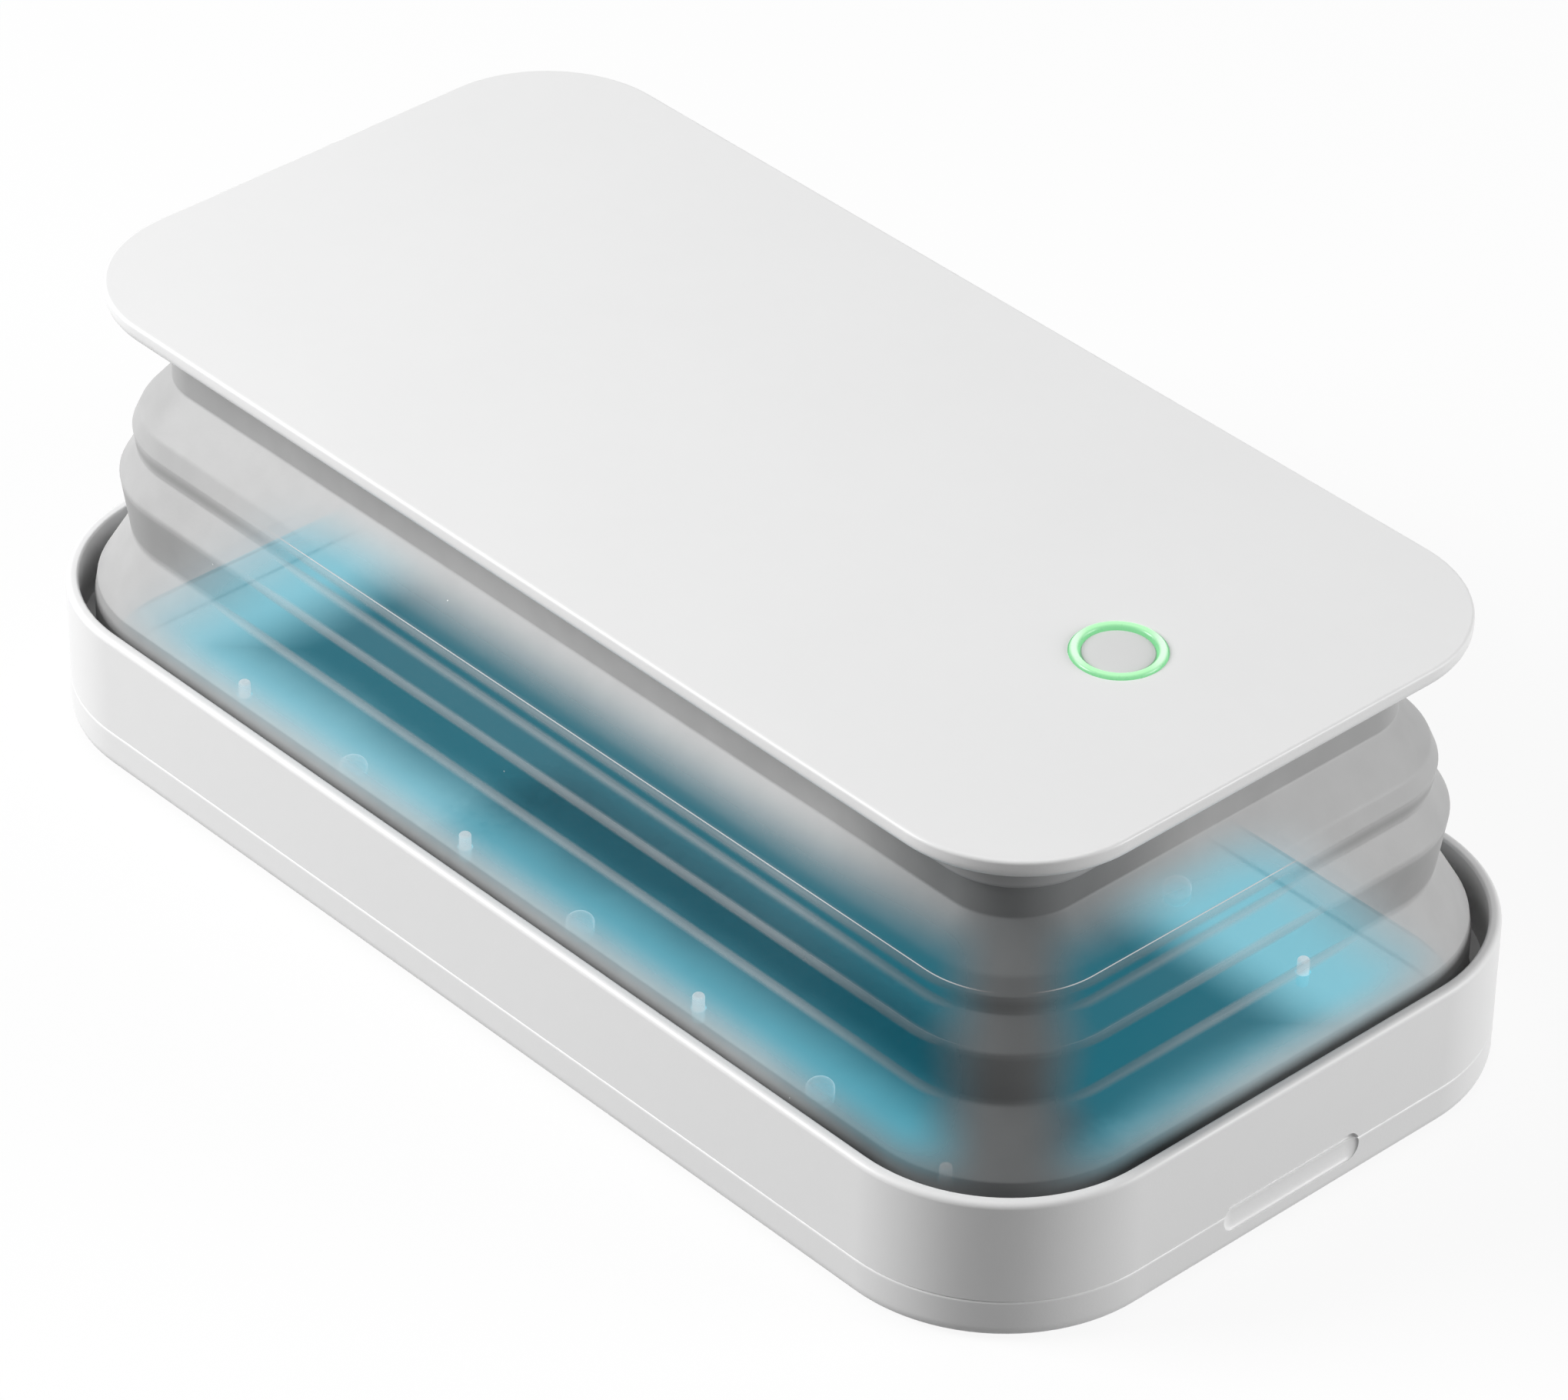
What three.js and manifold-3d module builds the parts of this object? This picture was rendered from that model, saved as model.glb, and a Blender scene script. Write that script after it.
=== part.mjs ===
// A collapsible UV sanitizer box for a phone.
// A shallow tray with a mirror floor carries a hinged cover. The cover is a rim frame, a folding
// silicone bellows and a flat lid that holds the lamps, the battery and one lit push button.
// Millimetres, +Z up, +X towards the end with the finger notch, Z = 0 under the rubber feet.

import * as THREE from "three";
import { mergeVertices } from "three/addons/utils/BufferGeometryUtils.js";
import Module from "manifold-3d";

const wasm = await Module();
wasm.setup();

// Driving sizes of the case: the tray below the seam and the rim frame above it
const CASE_LENGTH = 187.6;
const CASE_WIDTH = 98.8;
const CASE_CORNER = 23.5;
const CASE_WALL = 1.6;
const CASE_FLOOR = 1.6;
const SEAM_HEIGHT = 5.4;
const RIM_HEIGHT = 20.0;
const CASE_BOTTOM_INSET = 0.9;
const CASE_BOTTOM_ROUND = 1.6;
const SEAM_BREAK = 0.25;
const RIM_ROUND = 0.8;
const RIM_INNER_BREAK = 0.4;

// Driving sizes of the lid, which stays inside the case by its two insets
const LID_END_INSET = 5.95;
const LID_SIDE_INSET = 6.45;
const LID_LENGTH = CASE_LENGTH - 2 * LID_END_INSET;
const LID_WIDTH = CASE_WIDTH - 2 * LID_SIDE_INSET;
const LID_CORNER_INSET = 5.55;
const LID_CORNER = CASE_CORNER - LID_CORNER_INSET;
const LID_THICKNESS = 2.7;
const LID_SKIN = 1.5;
const LID_EDGE_ROUND = 1.1;
const LID_SKIRT = 1.5;

// Driving sizes of the bellows: how much shorter its straight runs are than the case's at each end,
// how far each stretch steps in or out from the one below, and its height
const BELLOWS_END_INSET = 0.2;
const BELLOWS_SIDE_INSET = 0.4;
const BELLOWS_WALL = 0.9;
const BELLOWS_FOOT_GAP = 1.6;
const SKIRT_EDGE_INSET = 0.4;
const SKIRT_SLOPE = 4.6;
const RIDGE_OVERHANG = 1.2;
const RIDGE_SLOPE = 2.3;
const TIER_OVERHANG = 0.4;
const TIER_LEAN = 1.0;
const SHOULDER_SLOPE = 4.7;
const SKIRT_EDGE_DROP = 2.4;
const SKIRT_RISE = 7.8;
const RIDGE_WALL_RISE = 8.3;
const RIDGE_SLOPE_RISE = 3.8;
const TIER_STRIP_RISE = 3.1;
const TIER_WALL_RISE = 2.6;
const SHOULDER_RISE = 4.8;
const COLLAR_RISE = 4.8;
const FOLD_ROUND = 1.3;
const SHOULDER_ROUND = 4.0;
const RETAINING_LIP = 1.1;

// Clearances and overrun shared by the cuts
const CLEARANCE = 0.3;
const SLIDE_GAP = 0.2;
const SCREW_GAP = 0.15;
const OVERRUN = 1.0;
const FACE_OVERRUN = 0.2;

// Carrier under the lid, and the clamp frames that hold the two ends of the bellows
const CARRIER_INSET = 6.5;
const CARRIER_DEPTH = 6.3;
const CARRIER_WALL = 1.5;
const CARRIER_FLOOR = 1.5;
const CARRIER_BRIM = 1.1;
const CARRIER_ROUND = 1.0;
const COLLAR_FLANGE = 3.7;
const TOP_CLAMP_THICKNESS = 1.3;
const LEDGE_HEIGHT = 4.5;
const LEDGE_THICKNESS = 1.5;
const BOTTOM_CLAMP_WIDTH = 2.2;
const SNAP_LENGTH = 8.0;
const SNAP_REACH = 0.7;
const SNAP_THICKNESS = 1.0;
const SNAP_RISE = 0.7;
const SNAP_ROOT = 1.0;
const SNAP_OFFSET_SHARES = [-0.33, 0, 0.33];

// Tray insides: mirror floor, support pegs and clear bumpers between them
const MIRROR_LEVEL = 4.6;
const MIRROR_THICKNESS = 0.8;
const MIRROR_LIP = 0.6;
const MIRROR_LIP_WIDTH = 0.8;
const MIRROR_MARGIN = 0.9;
const PEG_PITCH = 44.0;
const PEG_ROW = 30.5;
const PEG_RADIUS = 0.8;
const PEG_HEIGHT = 2.1;
const PEG_COLUMN_RADIUS = 1.6;
const PEG_PITCHES = [-1.5, -0.5, 0.5, 1.5];
const BUMPER_PITCHES = [-1, 0, 1];
const BUMPER_RADIUS = 1.8;
const BUMPER_HEIGHT = 1.9;
const BUMPER_DOME_SHARES = [[1, 0.5], [0.75, 0.85], [0.35, 1]];

// Rubber feet, and the screws that they hide
const FOOT_RADIUS = 6.0;
const FOOT_THICKNESS = 1.4;
const FOOT_PROUD = 0.6;
const FOOT_EDGE = 0.4;
const FOOT_END_INSET = 38.8;
const FOOT_SIDE_INSET = 18.4;
const SCREW_RADIUS = 0.8;
const SCREW_HEAD_RADIUS = 1.7;
const SCREW_HEAD_HEIGHT = 1.0;
const SCREW_DOME = 0.3;
const SCREW_BOSS_RADIUS = 3.2;
const SCREW_BOSS_ROOF = 1.0;
const SCREW_BITE = 2.1;

// Hinge at the back end: barrels on the seam line, and one steel pin
const BARREL_RADIUS = 2.2;
const PIN_RADIUS = 0.75;
const TRAY_KNUCKLE = 22.0;
const COVER_KNUCKLE = 12.0;

// Finger notch on the front end
const NOTCH_LENGTH = 23.0;
const NOTCH_RADIUS = 1.9;
const NOTCH_DEPTH = 0.8;
const NOTCH_BELOW_SEAM = 0.85;

// Closing magnets at the front end
const MAGNET_LENGTH = 10.0;
const MAGNET_WIDTH = 2.0;
const MAGNET_HEIGHT = 1.5;
const MAGNET_Y = 20.0;
const MAGNET_POCKET_WALL = 0.8;

// Push button and its light ring
const BUTTON_END_INSET = 27.05;
const BUTTON_X = LID_LENGTH / 2 - BUTTON_END_INSET;
const RING_OUTER_RADIUS = 6.25;
const RING_INNER_RADIUS = 4.7;
const RING_PROUD = 0.45;
const RING_DEPTH = 2.2;
const RING_FLANGE_RADIUS = 7.8;
const RING_FLANGE_THICKNESS = 0.5;
const BUTTON_SUNK = 0.1;
const BUTTON_EDGE = 0.2;
const BUTTON_FLANGE_RADIUS = 5.6;
const BUTTON_FLANGE_THICKNESS = 0.6;
const BUTTON_TRAVEL = 0.6;

// Screws of the lid, and those of the upper clamp frame
const LID_SCREW_END_INSET = 17.85;
const LID_SCREW_SIDE_INSET = 18.95;
const LID_SCREW_MID_INSET = 14.65;
const LID_SCREW_X = LID_LENGTH / 2 - LID_SCREW_END_INSET;
const LID_SCREW_Y = LID_WIDTH / 2 - LID_SCREW_SIDE_INSET;
const LID_SCREW_MID_Y = LID_WIDTH / 2 - LID_SCREW_MID_INSET;
const LID_BOSS_RADIUS = 2.4;
const CLAMP_SCREW_END_INSET = 28.1;
const CLAMP_SCREW_SIDE_INSET = 7.5;
const CLAMP_HEAD_HEIGHT = 0.8;
const CLAMP_HEAD_RADIUS = 1.15;
const CLAMP_SCREW_RADIUS = 0.6;
const CLAMP_BOSS_RADIUS = 1.8;
const CLAMP_SCREW_BITE = 2.3;

// Electronics in the carrier, placed from the ends and sides of the lid and clear of its screws
const BOARD_THICKNESS = 1.0;
const MAIN_BOARD_LENGTH = 28.0;
const MAIN_BOARD_SCREW_GAP = 8.0;
const MAIN_BOARD_WIDTH = 2 * (LID_SCREW_Y - MAIN_BOARD_SCREW_GAP);
const MAIN_BOARD_END_INSET = 27.85;
const MAIN_BOARD_X = LID_LENGTH / 2 - MAIN_BOARD_END_INSET;
const MAIN_BOARD_POST = 0.8;
const POST_RADIUS = 1.5;
const POST_INSET = 2.4;
const SWITCH_SIZE = 6.0;
const SWITCH_HEIGHT = 1.4;
const PLUNGER_RADIUS = 1.7;
const LED_BOARD_BACK_INSET = 27.85;
const LED_BOARD_FRONT_INSET = 43.85;
const LED_BOARD_LENGTH = LID_LENGTH - LED_BOARD_BACK_INSET - LED_BOARD_FRONT_INSET;
const LED_BOARD_WIDTH = 14.0;
const LED_BOARD_X = (LED_BOARD_BACK_INSET - LED_BOARD_FRONT_INSET) / 2;
const LED_BOARD_RAIL = 2.2;
const LED_RAIL_WIDTH = 2.0;
const LED_COUNT = 4;
const LED_END_INSET = 7.0;
const LED_PITCH = (LED_BOARD_LENGTH - 2 * LED_END_INSET) / (LED_COUNT - 1);
const LED_SIZE = 3.5;
const LED_BASE_HEIGHT = 1.2;
const LED_LENS_RADIUS = 1.4;
const LED_LENS_SHARE = 0.7;
const LED_CONE_TOP_RADIUS = 3.2;
const LED_CONE_BOTTOM_RADIUS = 5.0;
const BATTERY_END_INSET = 45.85;
const BATTERY_SIDE_INSET = 17.7;
const BATTERY_BOARD_GAP = 0.75;
const BATTERY_LENGTH = LID_LENGTH - 2 * BATTERY_END_INSET;
const BATTERY_WIDTH = LID_WIDTH / 2 - BATTERY_SIDE_INSET - LED_BOARD_WIDTH / 2 - BATTERY_BOARD_GAP;
const BATTERY_Y = LED_BOARD_WIDTH / 2 + BATTERY_BOARD_GAP + BATTERY_WIDTH / 2;
const BATTERY_THICKNESS = 4.5;
const BATTERY_ROUND = 1.5;
const CHARGE_BOARD_LENGTH = 14.0;
const CHARGE_BOARD_SCREW_GAP = 8.0;
const SOCKET_WIDTH = 8.9;
const SOCKET_HEIGHT = 3.2;
const SOCKET_DEPTH = 7.3;
const SOCKET_WALL = 0.35;
const SOCKET_TONGUE = 0.7;
const SOCKET_TONGUE_WIDTH = 6.2;
const SOCKET_RECESS = 0.15;
const SOCKET_BACK = 1.0;

// Facets, and the largest share of a stretch that the round at its end may take
const FOLD_REACH_SHARE = 0.45;
const CORNER_STEPS = 6;
const FOLD_STEPS = 2;
const ROUND_STEPS = 3;
const SCREW_SIDES = 8;
const BOSS_SIDES = 14;
const DISC_SIDES = 24;
const NOTCH_CAP_STEPS = 3;
const NOTCH_SIDES = 12;

// Straight cores: the part of each rounded rectangle between its corner arcs
const CASE_CORE = { length: CASE_LENGTH - 2 * CASE_CORNER, width: CASE_WIDTH - 2 * CASE_CORNER };
const LID_CORE = { length: LID_LENGTH - 2 * LID_CORNER, width: LID_WIDTH - 2 * LID_CORNER };
const BELLOWS_CORE = {
  length: CASE_CORE.length - 2 * BELLOWS_END_INSET,
  width: CASE_CORE.width - 2 * BELLOWS_SIDE_INSET,
};

// Heights, from the feet up
const BASE_Z = FOOT_PROUD;
const FLOOR_Z = BASE_Z + CASE_FLOOR;
const MIRROR_Z = BASE_Z + MIRROR_LEVEL;
const SEAM_Z = BASE_Z + SEAM_HEIGHT;
const RIM_Z = BASE_Z + RIM_HEIGHT;
const LEDGE_Z = SEAM_Z + LEDGE_HEIGHT;
const LOWER_LIP_Z = LEDGE_Z - CLEARANCE - RETAINING_LIP;
const BOTTOM_CLAMP_Z = SEAM_Z + CLEARANCE;
const BOTTOM_CLAMP_TOP_Z = LOWER_LIP_Z - CLEARANCE;
const LOWER_CREASE_Z = RIM_Z + SKIRT_RISE;
const RIDGE_Z = LOWER_CREASE_Z + RIDGE_WALL_RISE;
const UPPER_CREASE_Z = RIDGE_Z + RIDGE_SLOPE_RISE;
const TIER_EDGE_Z = UPPER_CREASE_Z + TIER_STRIP_RISE;
const SHOULDER_Z = TIER_EDGE_Z + TIER_WALL_RISE;
const COLLAR_Z = SHOULDER_Z + SHOULDER_RISE;
const COLLAR_TOP_Z = COLLAR_Z + COLLAR_RISE;
const CARRIER_Z = COLLAR_TOP_Z + CLEARANCE;
const CARRIER_FLOOR_Z = CARRIER_Z + CARRIER_FLOOR;
const LID_Z = CARRIER_Z + CARRIER_DEPTH;
const LID_TOP_Z = LID_Z + LID_THICKNESS;
const LID_SKIN_Z = LID_TOP_Z - LID_SKIN;

// Radii and places that several pieces share
const CASE_INNER_RADIUS = CASE_CORNER - CASE_WALL;
const BELLOWS_FOOT_RADIUS = CASE_INNER_RADIUS - BELLOWS_FOOT_GAP;
const SKIRT_EDGE_RADIUS = BELLOWS_FOOT_RADIUS - SKIRT_EDGE_INSET;
const LOWER_CREASE_RADIUS = SKIRT_EDGE_RADIUS - SKIRT_SLOPE;
const RIDGE_RADIUS = LOWER_CREASE_RADIUS + RIDGE_OVERHANG;
const UPPER_CREASE_RADIUS = RIDGE_RADIUS - RIDGE_SLOPE;
const TIER_EDGE_RADIUS = UPPER_CREASE_RADIUS + TIER_OVERHANG;
const SHOULDER_RADIUS = TIER_EDGE_RADIUS - TIER_LEAN;
const COLLAR_RADIUS = SHOULDER_RADIUS - SHOULDER_SLOPE;
const CARRIER_RADIUS = LID_CORNER - CARRIER_INSET;
const MIRROR_RADIUS = CASE_INNER_RADIUS - MIRROR_MARGIN;
const BOTTOM_CLAMP_RADIUS = CASE_INNER_RADIUS - CLEARANCE;
const HINGE_X = -CASE_LENGTH / 2;
const COVER_KNUCKLE_Y = TRAY_KNUCKLE / 2 + CLEARANCE + COVER_KNUCKLE / 2;
const HINGE_SPAN = TRAY_KNUCKLE + 2 * CLEARANCE + 2 * COVER_KNUCKLE;
const MAGNET_X = CASE_LENGTH / 2 - CASE_WALL - CLEARANCE - MAGNET_POCKET_WALL - MAGNET_WIDTH / 2;
const MAIN_BOARD_Z = CARRIER_FLOOR_Z + MAIN_BOARD_POST;
const LED_BOARD_Z = CARRIER_FLOOR_Z + LED_BOARD_RAIL;
const CHARGE_BOARD_Z = CARRIER_FLOOR_Z;
const RING_Z = LID_TOP_Z - RING_DEPTH;
const BUTTON_FLANGE_Z = RING_Z - SLIDE_GAP - BUTTON_FLANGE_THICKNESS;
const SWITCH_TOP_Z = BUTTON_FLANGE_Z - BUTTON_TRAVEL - SLIDE_GAP;
const SOCKET_X = -LID_CORE.length / 2 - CARRIER_RADIUS + SOCKET_RECESS + SOCKET_DEPTH / 2;

const CORNER_SIDES = [[1, 1], [-1, 1], [-1, -1], [1, -1]];
const PLACES_OF_FEET = CORNER_SIDES.map(([x, y]) =>
  [x * (CASE_LENGTH / 2 - FOOT_END_INSET), y * (CASE_WIDTH / 2 - FOOT_SIDE_INSET)]);
const PLACES_OF_LID_SCREWS = [
  [LID_SCREW_X, LID_SCREW_Y], [0, LID_SCREW_MID_Y], [-LID_SCREW_X, LID_SCREW_Y],
  [-LID_SCREW_X, -LID_SCREW_Y], [0, -LID_SCREW_MID_Y], [LID_SCREW_X, -LID_SCREW_Y],
];
const CLAMP_SCREW_X = BELLOWS_CORE.length / 2 - CLAMP_SCREW_END_INSET;
const CLAMP_SCREW_Y = BELLOWS_CORE.width / 2 - CLAMP_SCREW_SIDE_INSET;
const CLAMP_SCREW_LINE = BELLOWS_CORE.width / 2 + COLLAR_RADIUS - (COLLAR_FLANGE + BELLOWS_WALL) / 2;
const CLAMP_SCREW_END = BELLOWS_CORE.length / 2 + COLLAR_RADIUS - (COLLAR_FLANGE + BELLOWS_WALL) / 2;
const CHARGE_BOARD_WIDTH = 2 * (CLAMP_SCREW_Y - CHARGE_BOARD_SCREW_GAP);
const PLACES_OF_CLAMP_SCREWS = CORNER_SIDES.flatMap(([x, y]) => [
  [x * CLAMP_SCREW_X, y * CLAMP_SCREW_LINE], [x * CLAMP_SCREW_END, y * CLAMP_SCREW_Y],
]);

const WHITE = { color: 0xf1f2f2, roughness: 0.42, metalness: 0 };
const MATERIALS = {
  shell: new THREE.MeshStandardMaterial(WHITE),
  carrier: new THREE.MeshStandardMaterial({ ...WHITE, color: 0xe9eaea }),
  silicone: new THREE.MeshStandardMaterial({ color: 0xb9bdbf, roughness: 0.55, metalness: 0 }),
  rubber: new THREE.MeshStandardMaterial({ color: 0x9a9da0, roughness: 0.8, metalness: 0 }),
  mirror: new THREE.MeshStandardMaterial({ color: 0xd9e3e8, roughness: 0.06, metalness: 1 }),
  steel: new THREE.MeshStandardMaterial({ color: 0xc4c6c8, roughness: 0.3, metalness: 1 }),
  clear: new THREE.MeshStandardMaterial({ color: 0xdff1f7, roughness: 0.15, metalness: 0 }),
  glow: new THREE.MeshStandardMaterial({ color: 0x8fe6a4, roughness: 0.3, metalness: 0 }),
  board: new THREE.MeshStandardMaterial({ color: 0x1f6b45, roughness: 0.5, metalness: 0 }),
  cell: new THREE.MeshStandardMaterial({ color: 0xb9bcc2, roughness: 0.35, metalness: 0.6 }),
  black: new THREE.MeshStandardMaterial({ color: 0x1c1d1f, roughness: 0.5, metalness: 0 }),
  ceramic: new THREE.MeshStandardMaterial({ color: 0xf4f1e8, roughness: 0.4, metalness: 0 }),
};

// Turns a closed three.js geometry into a solid that can be cut and joined
function solid(geometry) {
  const bare = geometry.clone();
  bare.deleteAttribute("normal");
  bare.deleteAttribute("uv");
  const merged = mergeVertices(bare);
  return new wasm.Manifold(new wasm.Mesh({
    numProp: 3,
    vertProperties: new Float32Array(merged.attributes.position.array),
    triVerts: new Uint32Array(merged.index.array),
  }));
}

// Makes a named mesh of a solid
function piece(name, body, material) {
  const { vertProperties, triVerts } = body.getMesh();
  const geometry = new THREE.BufferGeometry();
  geometry.setAttribute("position", new THREE.BufferAttribute(new Float32Array(vertProperties), 3));
  geometry.setIndex(new THREE.BufferAttribute(new Uint32Array(triVerts), 1));
  geometry.computeVertexNormals();
  const mesh = new THREE.Mesh(geometry, material);
  mesh.name = name;
  return mesh;
}

// One station of a profile: the corner radius and the height of a rounded rectangle
function at(core, radius, z) {
  return { core, radius, z };
}

// The points of a rounded rectangle, anticlockwise from above
function outline({ core, radius, z }) {
  const points = [];
  CORNER_SIDES.forEach(([sideX, sideY], quarter) => {
    for (let step = 0; step <= CORNER_STEPS; step += 1) {
      const angle = (quarter + step / CORNER_STEPS) * Math.PI / 2;
      points.push([
        sideX * core.length / 2 + radius * Math.cos(angle),
        sideY * core.width / 2 + radius * Math.sin(angle),
        z,
      ]);
    }
  });
  return points;
}

// Skins the outlines of a profile. A closed profile gives a frame, an open one a capped solid.
function loft(stations, closed) {
  const rings = stations.map(outline);
  const count = rings[0].length;
  const index = [];
  const bands = closed ? rings.length : rings.length - 1;
  for (let band = 0; band < bands; band += 1) {
    const low = band * count;
    const high = ((band + 1) % rings.length) * count;
    for (let i = 0; i < count; i += 1) {
      const j = (i + 1) % count;
      index.push(low + i, low + j, high + j, low + i, high + j, high + i);
    }
  }
  if (!closed) {
    const top = (rings.length - 1) * count;
    for (let i = 1; i < count - 1; i += 1) {
      index.push(0, i + 1, i, top, top + i, top + i + 1);
    }
  }
  const geometry = new THREE.BufferGeometry();
  geometry.setAttribute("position", new THREE.Float32BufferAttribute(rings.flat(2), 3));
  geometry.setIndex(index);
  return solid(geometry);
}

const frame = (stations) => loft(stations, true);
const block = (stations) => loft(stations, false);

// Stations of a quarter round between two radii and two heights. The bulge is outward.
function quarterRound(core, fromRadius, fromZ, toRadius, toZ, startsVertical) {
  const stations = [];
  for (let step = 0; step <= ROUND_STEPS; step += 1) {
    const angle = step / ROUND_STEPS * Math.PI / 2;
    const across = startsVertical ? 1 - Math.cos(angle) : Math.sin(angle);
    const along = startsVertical ? Math.sin(angle) : 1 - Math.cos(angle);
    stations.push(at(core, fromRadius + (toRadius - fromRadius) * across, fromZ + (toZ - fromZ) * along));
  }
  return stations;
}

// A round piece from a profile of radii and heights, first and last on the axis
function turned(profile, sides = DISC_SIDES) {
  const points = profile.map(([radius, z]) => new THREE.Vector2(radius, z));
  return solid(new THREE.LatheGeometry(points, sides).rotateX(Math.PI / 2));
}

// An upright round bar between two heights
function upright(radius, fromZ, toZ, x = 0, y = 0, sides = BOSS_SIDES) {
  const geometry = new THREE.CylinderGeometry(radius, radius, toZ - fromZ, sides);
  return solid(geometry.rotateX(Math.PI / 2).translate(x, y, (fromZ + toZ) / 2));
}

// A round bar along the hinge line
function hingeBar(radius, length, y) {
  return solid(new THREE.CylinderGeometry(radius, radius, length, BOSS_SIDES).translate(HINGE_X, y, SEAM_Z));
}

// A box by its sizes, its centre and the height of its underside
function box(length, width, height, x, y, fromZ) {
  return solid(new THREE.BoxGeometry(length, width, height).translate(x, y, fromZ + height / 2));
}

const add = (body, parts) => parts.reduce((sum, part) => sum.add(part), body);
const cut = (body, parts) => parts.reduce((rest, part) => rest.subtract(part), body);

// The finger notch is one capsule, pressed flat, sunk in the front end across the seam
function notchCutter() {
  const straight = NOTCH_LENGTH - 2 * NOTCH_RADIUS;
  const capsule = new THREE.CapsuleGeometry(NOTCH_RADIUS, straight, NOTCH_CAP_STEPS, NOTCH_SIDES);
  capsule.scale(NOTCH_DEPTH / NOTCH_RADIUS, 1, 1);
  return solid(capsule.translate(CASE_LENGTH / 2, 0, SEAM_Z - NOTCH_BELOW_SEAM));
}

const trayKnuckle = (radius, extra) => [hingeBar(radius, TRAY_KNUCKLE + extra, 0)];
const coverKnuckles = (radius, extra) =>
  [-1, 1].map((side) => hingeBar(radius, COVER_KNUCKLE + extra, side * COVER_KNUCKLE_Y));

// A screw that points up, with its head seated at z = 0
function screwSolid(headRadius, headHeight, radius, bite) {
  return turned([
    [0, -headHeight], [headRadius - SCREW_DOME, -headHeight], [headRadius, 0],
    [radius, 0], [radius, bite - radius / 2], [radius / 2, bite], [0, bite],
  ], SCREW_SIDES);
}

function placeScrews(parent, name, places, z, body) {
  places.forEach(([x, y], index) => {
    const screw = piece(`${name}_${index + 1}`, body, MATERIALS.steel);
    screw.position.set(x, y, z);
    parent.add(screw);
  });
}

// Tray: the heights of its screws
const TRAY_SCREW_SEAT_Z = BASE_Z + FOOT_THICKNESS - FOOT_PROUD + CLEARANCE + SCREW_HEAD_HEIGHT;
const TRAY_BOSS_Z = TRAY_SCREW_SEAT_Z + SCREW_BOSS_ROOF;

function bottomShell() {
  const radius = CASE_CORNER;
  const outer = block([
    ...quarterRound(CASE_CORE, radius - CASE_BOTTOM_INSET, BASE_Z, radius, BASE_Z + CASE_BOTTOM_ROUND, false),
    at(CASE_CORE, radius, SEAM_Z - SEAM_BREAK),
    at(CASE_CORE, radius - SEAM_BREAK, SEAM_Z),
  ]);
  const hollow = block([
    at(CASE_CORE, CASE_INNER_RADIUS, FLOOR_Z),
    at(CASE_CORE, CASE_INNER_RADIUS, SEAM_Z + OVERRUN),
  ]);
  let shell = cut(outer, [hollow, notchCutter(), ...coverKnuckles(BARREL_RADIUS + CLEARANCE, 2 * CLEARANCE)]);
  shell = add(shell, trayKnuckle(BARREL_RADIUS, 0));
  const columnTop = MIRROR_Z - MIRROR_THICKNESS;
  for (const x of PEG_PITCHES.map((pitch) => pitch * PEG_PITCH)) {
    for (const y of [-PEG_ROW, PEG_ROW]) {
      shell = add(shell, [
        upright(PEG_COLUMN_RADIUS, FLOOR_Z - CASE_FLOOR / 2, columnTop, x, y, SCREW_SIDES),
        pegSolid(columnTop - CASE_FLOOR / 2).translate(x, y, 0),
      ]);
    }
  }
  const pocketLength = MAGNET_LENGTH + 2 * SCREW_GAP;
  const pocketWidth = MAGNET_WIDTH + 2 * SCREW_GAP;
  const pocketHeight = MAGNET_HEIGHT + SLIDE_GAP;
  for (const y of [-MAGNET_Y, MAGNET_Y]) {
    const walls = box(pocketWidth + 2 * MAGNET_POCKET_WALL, pocketLength + 2 * MAGNET_POCKET_WALL,
      pocketHeight + CASE_FLOOR / 2, MAGNET_X, y, FLOOR_Z - CASE_FLOOR / 2);
    const pocket = box(pocketWidth, pocketLength, pocketHeight + OVERRUN, MAGNET_X, y, FLOOR_Z);
    shell = shell.add(walls).subtract(pocket);
  }
  for (const [x, y] of PLACES_OF_FEET) {
    const recessTop = BASE_Z + FOOT_THICKNESS - FOOT_PROUD;
    shell = shell.add(upright(SCREW_BOSS_RADIUS, FLOOR_Z - CASE_FLOOR / 2, TRAY_BOSS_Z, x, y));
    shell = cut(shell, [
      upright(FOOT_RADIUS + CLEARANCE, BASE_Z - OVERRUN, recessTop, x, y, DISC_SIDES),
      upright(SCREW_HEAD_RADIUS + CLEARANCE, BASE_Z, TRAY_SCREW_SEAT_Z, x, y, SCREW_SIDES),
      upright(SCREW_RADIUS + SCREW_GAP, BASE_Z, TRAY_BOSS_Z + OVERRUN, x, y, SCREW_SIDES),
    ]);
  }
  shell = shell.subtract(hingeBar(PIN_RADIUS + SCREW_GAP, HINGE_SPAN + 2 * OVERRUN, 0));
  return piece("bottom_shell", shell, MATERIALS.shell);
}

// A support peg with a rounded tip, standing on its column
function pegSolid(fromZ) {
  const tipZ = MIRROR_Z + PEG_HEIGHT;
  return turned([
    [0, fromZ], [PEG_RADIUS, fromZ], [PEG_RADIUS, tipZ - PEG_RADIUS / 2],
    [PEG_RADIUS / 2, tipZ], [0, tipZ],
  ], SCREW_SIDES);
}

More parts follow.
